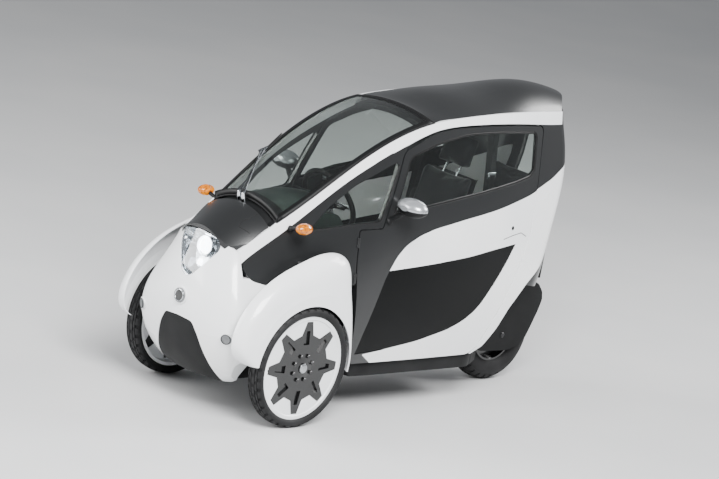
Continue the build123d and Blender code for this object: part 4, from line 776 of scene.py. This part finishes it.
def upholster(name, mesh, material, swell_mm, channels, across):
    """Blows a pad up as cloth, caps its swelling, then sinks the sewn channels into it."""
    made = dress(name, mesh, material, "body", 80)
    fine = made.modifiers.new("fine", "REMESH")
    fine.mode, fine.voxel_size = "VOXEL", 6 * MM
    ready = bpy.data.meshes.new_from_object(made.evaluated_get(bpy.context.evaluated_depsgraph_get()))
    made.modifiers.clear()
    made.data = ready
    ready.materials.clear()
    ready.materials.append(material)
    rest = [spot.co.copy() for spot in ready.vertices]
    cloth = made.modifiers.new("cloth", "CLOTH")
    cloth.settings.use_pressure, cloth.settings.uniform_pressure_force = True, 4.0
    cloth.settings.effector_weights.gravity = 0
    for step in range(1, 21):
        bpy.context.scene.frame_set(step)
    blown = bpy.data.meshes.new_from_object(made.evaluated_get(bpy.context.evaluated_depsgraph_get()))
    made.modifiers.clear()
    for spot, first, swollen in zip(ready.vertices, rest, blown.vertices):
        shift = swollen.co - first
        if shift.length > swell_mm * MM:
            shift = shift.normalized() * swell_mm * MM
        spot.co = first + shift
    bpy.context.scene.frame_set(1)
    low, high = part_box("front_seat") if name.startswith("driver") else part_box("rear_seat")
    for spot in ready.vertices:
        sink = sum(5 * exp(-((spot.co[across] / MM - line) / 7) ** 2) for line in channels)
        facing = spot.normal.copy()
        spot.co -= facing * sink * MM
        for axis in range(3):
            spot.co[axis] = min(max(spot.co[axis], low[axis] - 6 * MM), high[axis] + 6 * MM)
    ready.shade_smooth()
    soft = made.modifiers.new("soft", "SUBSURF")
    soft.levels = soft.render_levels = 1
    return made


driver_cushion = upholster("driver_cushion", slab(((150, 408), (152, 440), (112, 468), (-170, 436), (-240,
                                                                                                     448),
                                                   (-244, 402)), 168, 14), seat_cloth, 14, (40, -60, -160),
                                                   0)
upholster("driver_backrest", slab(((-248, 470), (-404, 1012), (-424, 1034), (-456, 1022), (-340, 470)), 146,
                                                14), seat_cloth, 14, (600, 720, 840), 2)
upholster("driver_headrest", slab(((-424, 1064), (-456, 1180), (-488, 1202), (-512, 1186), (-476, 1060)), 88,
                                                14), seat_cloth, 10, (), 0)
for label, sign in SIDES.items():
    bolster = upholster(f"driver_bolster_{label}", slab(((-262, 500), (-372, 900), (-396, 915), (-352,
                                                                                                 520)), 18,
                                                                                                 8),
                        side_cloth, 6, (), 0)
    for spot in bolster.data.vertices:
        spot.co.y += sign * 138 * MM
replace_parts(driver_cushion, "front_seat")
rear_pad = upholster("rear_cushion", slab(((-556, 552), (-556, 592), (-728, 622), (-800, 606), (-826, 552)),
                                          150, 12),
                     seat_cloth, 12, (-640,), 0)
upholster("rear_backrest", slab(((-806, 680), (-888, 1010), (-912, 1038), (-940, 1024), (-852, 668)), 150,
                                12),
                      seat_cloth, 12, (800, 920), 2)
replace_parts(rear_pad, "rear_seat")
seat_shell = moulded("moulded_seat_shell", "#202224", "#151618", grain_mm=2.0, grain=0.3)
base = slab(((136, 301), (128, 398), (-248, 388), (-296, 301)), 146, 10)
dress("driver_seat_base", base, seat_shell, "body")
shell = slab(((-300, 404), (-352, 470), (-470, 1004), (-476, 1020), (-466, 1010), (-350, 440)), 140, 2)
dress("driver_seat_shell", shell, seat_shell, "body")
posts = bmesh.new()
for sign in SIDES.values():
    rod(posts, (-438, sign * 42, 1010), (-468, sign * 42, 1080), 6)
dress("headrest_posts", posts, chrome, "body")

# Belt: polyester webbing that hangs down the left side of the roll hoop, with a plated tongue.
# It parks straight between its upper loop and the reel.
webbing = woven("belt_webbing", "#1c1d1f", "#2c2e31", thread_mm=3.2)
strap = block((-470, 226, 760), (40, 1.6, 600), 0.6)
dress("belt_webbing_strap", strap, webbing, "body")
tongue = block((-470, 222, 640), (46, 5, 58), 2)
join(tongue, block((-470, 224, 1066), (52, 10, 34), 4))
dress("belt_tongue_and_loop", tongue, chrome, "body")

# Rear lamps and plate: ribbed red acrylic in the tail's corners and two screws in the bare plate panel.
# A small lamp over the plate lights it.
red_lens = lit_lens("red_acrylic_lens", "#a5100c", "#5c0505", "#c81612", 0.25, rib_mm=7.0)
finish(red_lens, "tail_lamps")
screws = bmesh.new()
for sign in SIDES.values():
    join(screws, lathe(((-3, 0), (-3, 6.4), (0.5, 6.4), (2.2, 4.6), (2.2, 2.6), (0.6, 2.4), (0.6, 0)),
                       (-1106.6, sign * 70, 632), (-1, 0, 0), 24))
dress("plate_screws", screws, zinc_plate, "body", 25)
plate_lamp = block((-1098, 0, 668), (24, 74, 14), 4)
dress("plate_lamp", plate_lamp, black_plastic, "body")
housing = slab(((-1024, 640), (-1024, 568), (-1086, 519), (-1097, 519), (-1097, 650), (-1088, 652)), 98, 4)
open_back = [face for face in housing.faces if face.calc_center_median().x < -1094 * MM]
bmesh.ops.delete(housing, geom=open_back, context="FACES")
housing_wall = dress("plate_housing", housing, black_plastic, "body").modifiers.new("wall", "SOLIDIFY")
housing_wall.thickness, housing_wall.offset = 2 * MM, -1

# Floor pan: pressed steel under sprayed bitumen coating, stiffened by long ribs and drain plugs.
# The battery case above it shows only from inside.
pan_coating = moulded("sprayed_underbody_coating", "#141516", "#0c0c0d", grain_mm=5.0, grain=0.5,
                      rough=(0.68, 0.82))
battery_case = moulded("battery_case_plastic", "#3a3d40", "#2e3134", grain_mm=4.0)
finish(pan_coating, "floor_tub")
finish(battery_case, "battery_block")
ribs = bmesh.new()
for y in (-150, -50, 50, 150):
    join(ribs, block((150, y, 166), (1300, 26, 10), 4))
for x in (-460, -120, 220, 520):
    join(ribs, block((x, 0, 166), (30, 360, 9), 4))
dress("pan_ribs", ribs, pan_coating, "body")
plugs = bmesh.new()
for x, y in ((-560, -100), (-560, 100), (-300, -210), (-300, 210), (280, -210), (280, 210), (860, -150),
             (860, 150)):
    join(plugs, lathe(((-3, 0), (-3, 15), (1.6, 15), (3.6, 12), (3.6, 0)), (x, y, 168), (0, 0, -1), 24))
dress("pan_plugs", plugs, seal_rubber, "body")

# Studio: one seamless pale sheet for the floor, lit by three large soft lamps
# and a pale sky, so the lacquer shows broad soft highlights.
sheet = bmesh.new()
bmesh.ops.create_grid(sheet, x_segments=1, y_segments=1, size=60)
floor_data = bpy.data.meshes.new("studio_floor")
sheet.to_mesh(floor_data)
sheet.free()
floor = bpy.data.objects.new("studio_floor", floor_data)
bpy.context.scene.collection.objects.link(floor)
floor_paint, tree, place = start_material("pale_floor_paint")
mottle = add(tree, "ShaderNodeTexNoise", {"Vector": place, "Scale": scale_of(900), "Detail": 3.0})
floor_tone = add(tree, "ShaderNodeValToRGB", {"Fac": mottle.outputs["Fac"]},
                 stops=((0.3, linear("#c6c7c8")), (0.7, linear("#cdcdcd"))))
floor_shader = add(tree, "ShaderNodeBsdfPrincipled", {"Base Color": floor_tone.outputs["Color"],
                                                      "Roughness": 0.5})
floor_data.materials.append(close_material(floor_paint, tree, floor_shader))
world = bpy.data.worlds.new("studio_world")
bpy.context.scene.world = world
world.use_nodes = True
world.node_tree.nodes["Background"].inputs["Color"].default_value = linear("#d7dade")
world.node_tree.nodes["Background"].inputs["Strength"].default_value = 0.42
LAMPS = (("key", (3.5, 4.5, 5.5), 3.2, 1450), ("fill", (5.5, -3.5, 3.0), 4.5, 640), ("rim", (-5.5, 2.0,
                                                                                             4.5), 3.0, 520))
for lamp_name, spot, size, power in LAMPS:
    lamp = bpy.data.lights.new(lamp_name, "AREA")
    lamp.energy, lamp.size = power, size
    light = bpy.data.objects.new(lamp_name, lamp)
    bpy.context.scene.collection.objects.link(light)
    light.location = spot
    light.rotation_euler = (Vector((0, 0, 0.6)) - Vector(spot)).to_track_quat("-Z", "Y").to_euler()
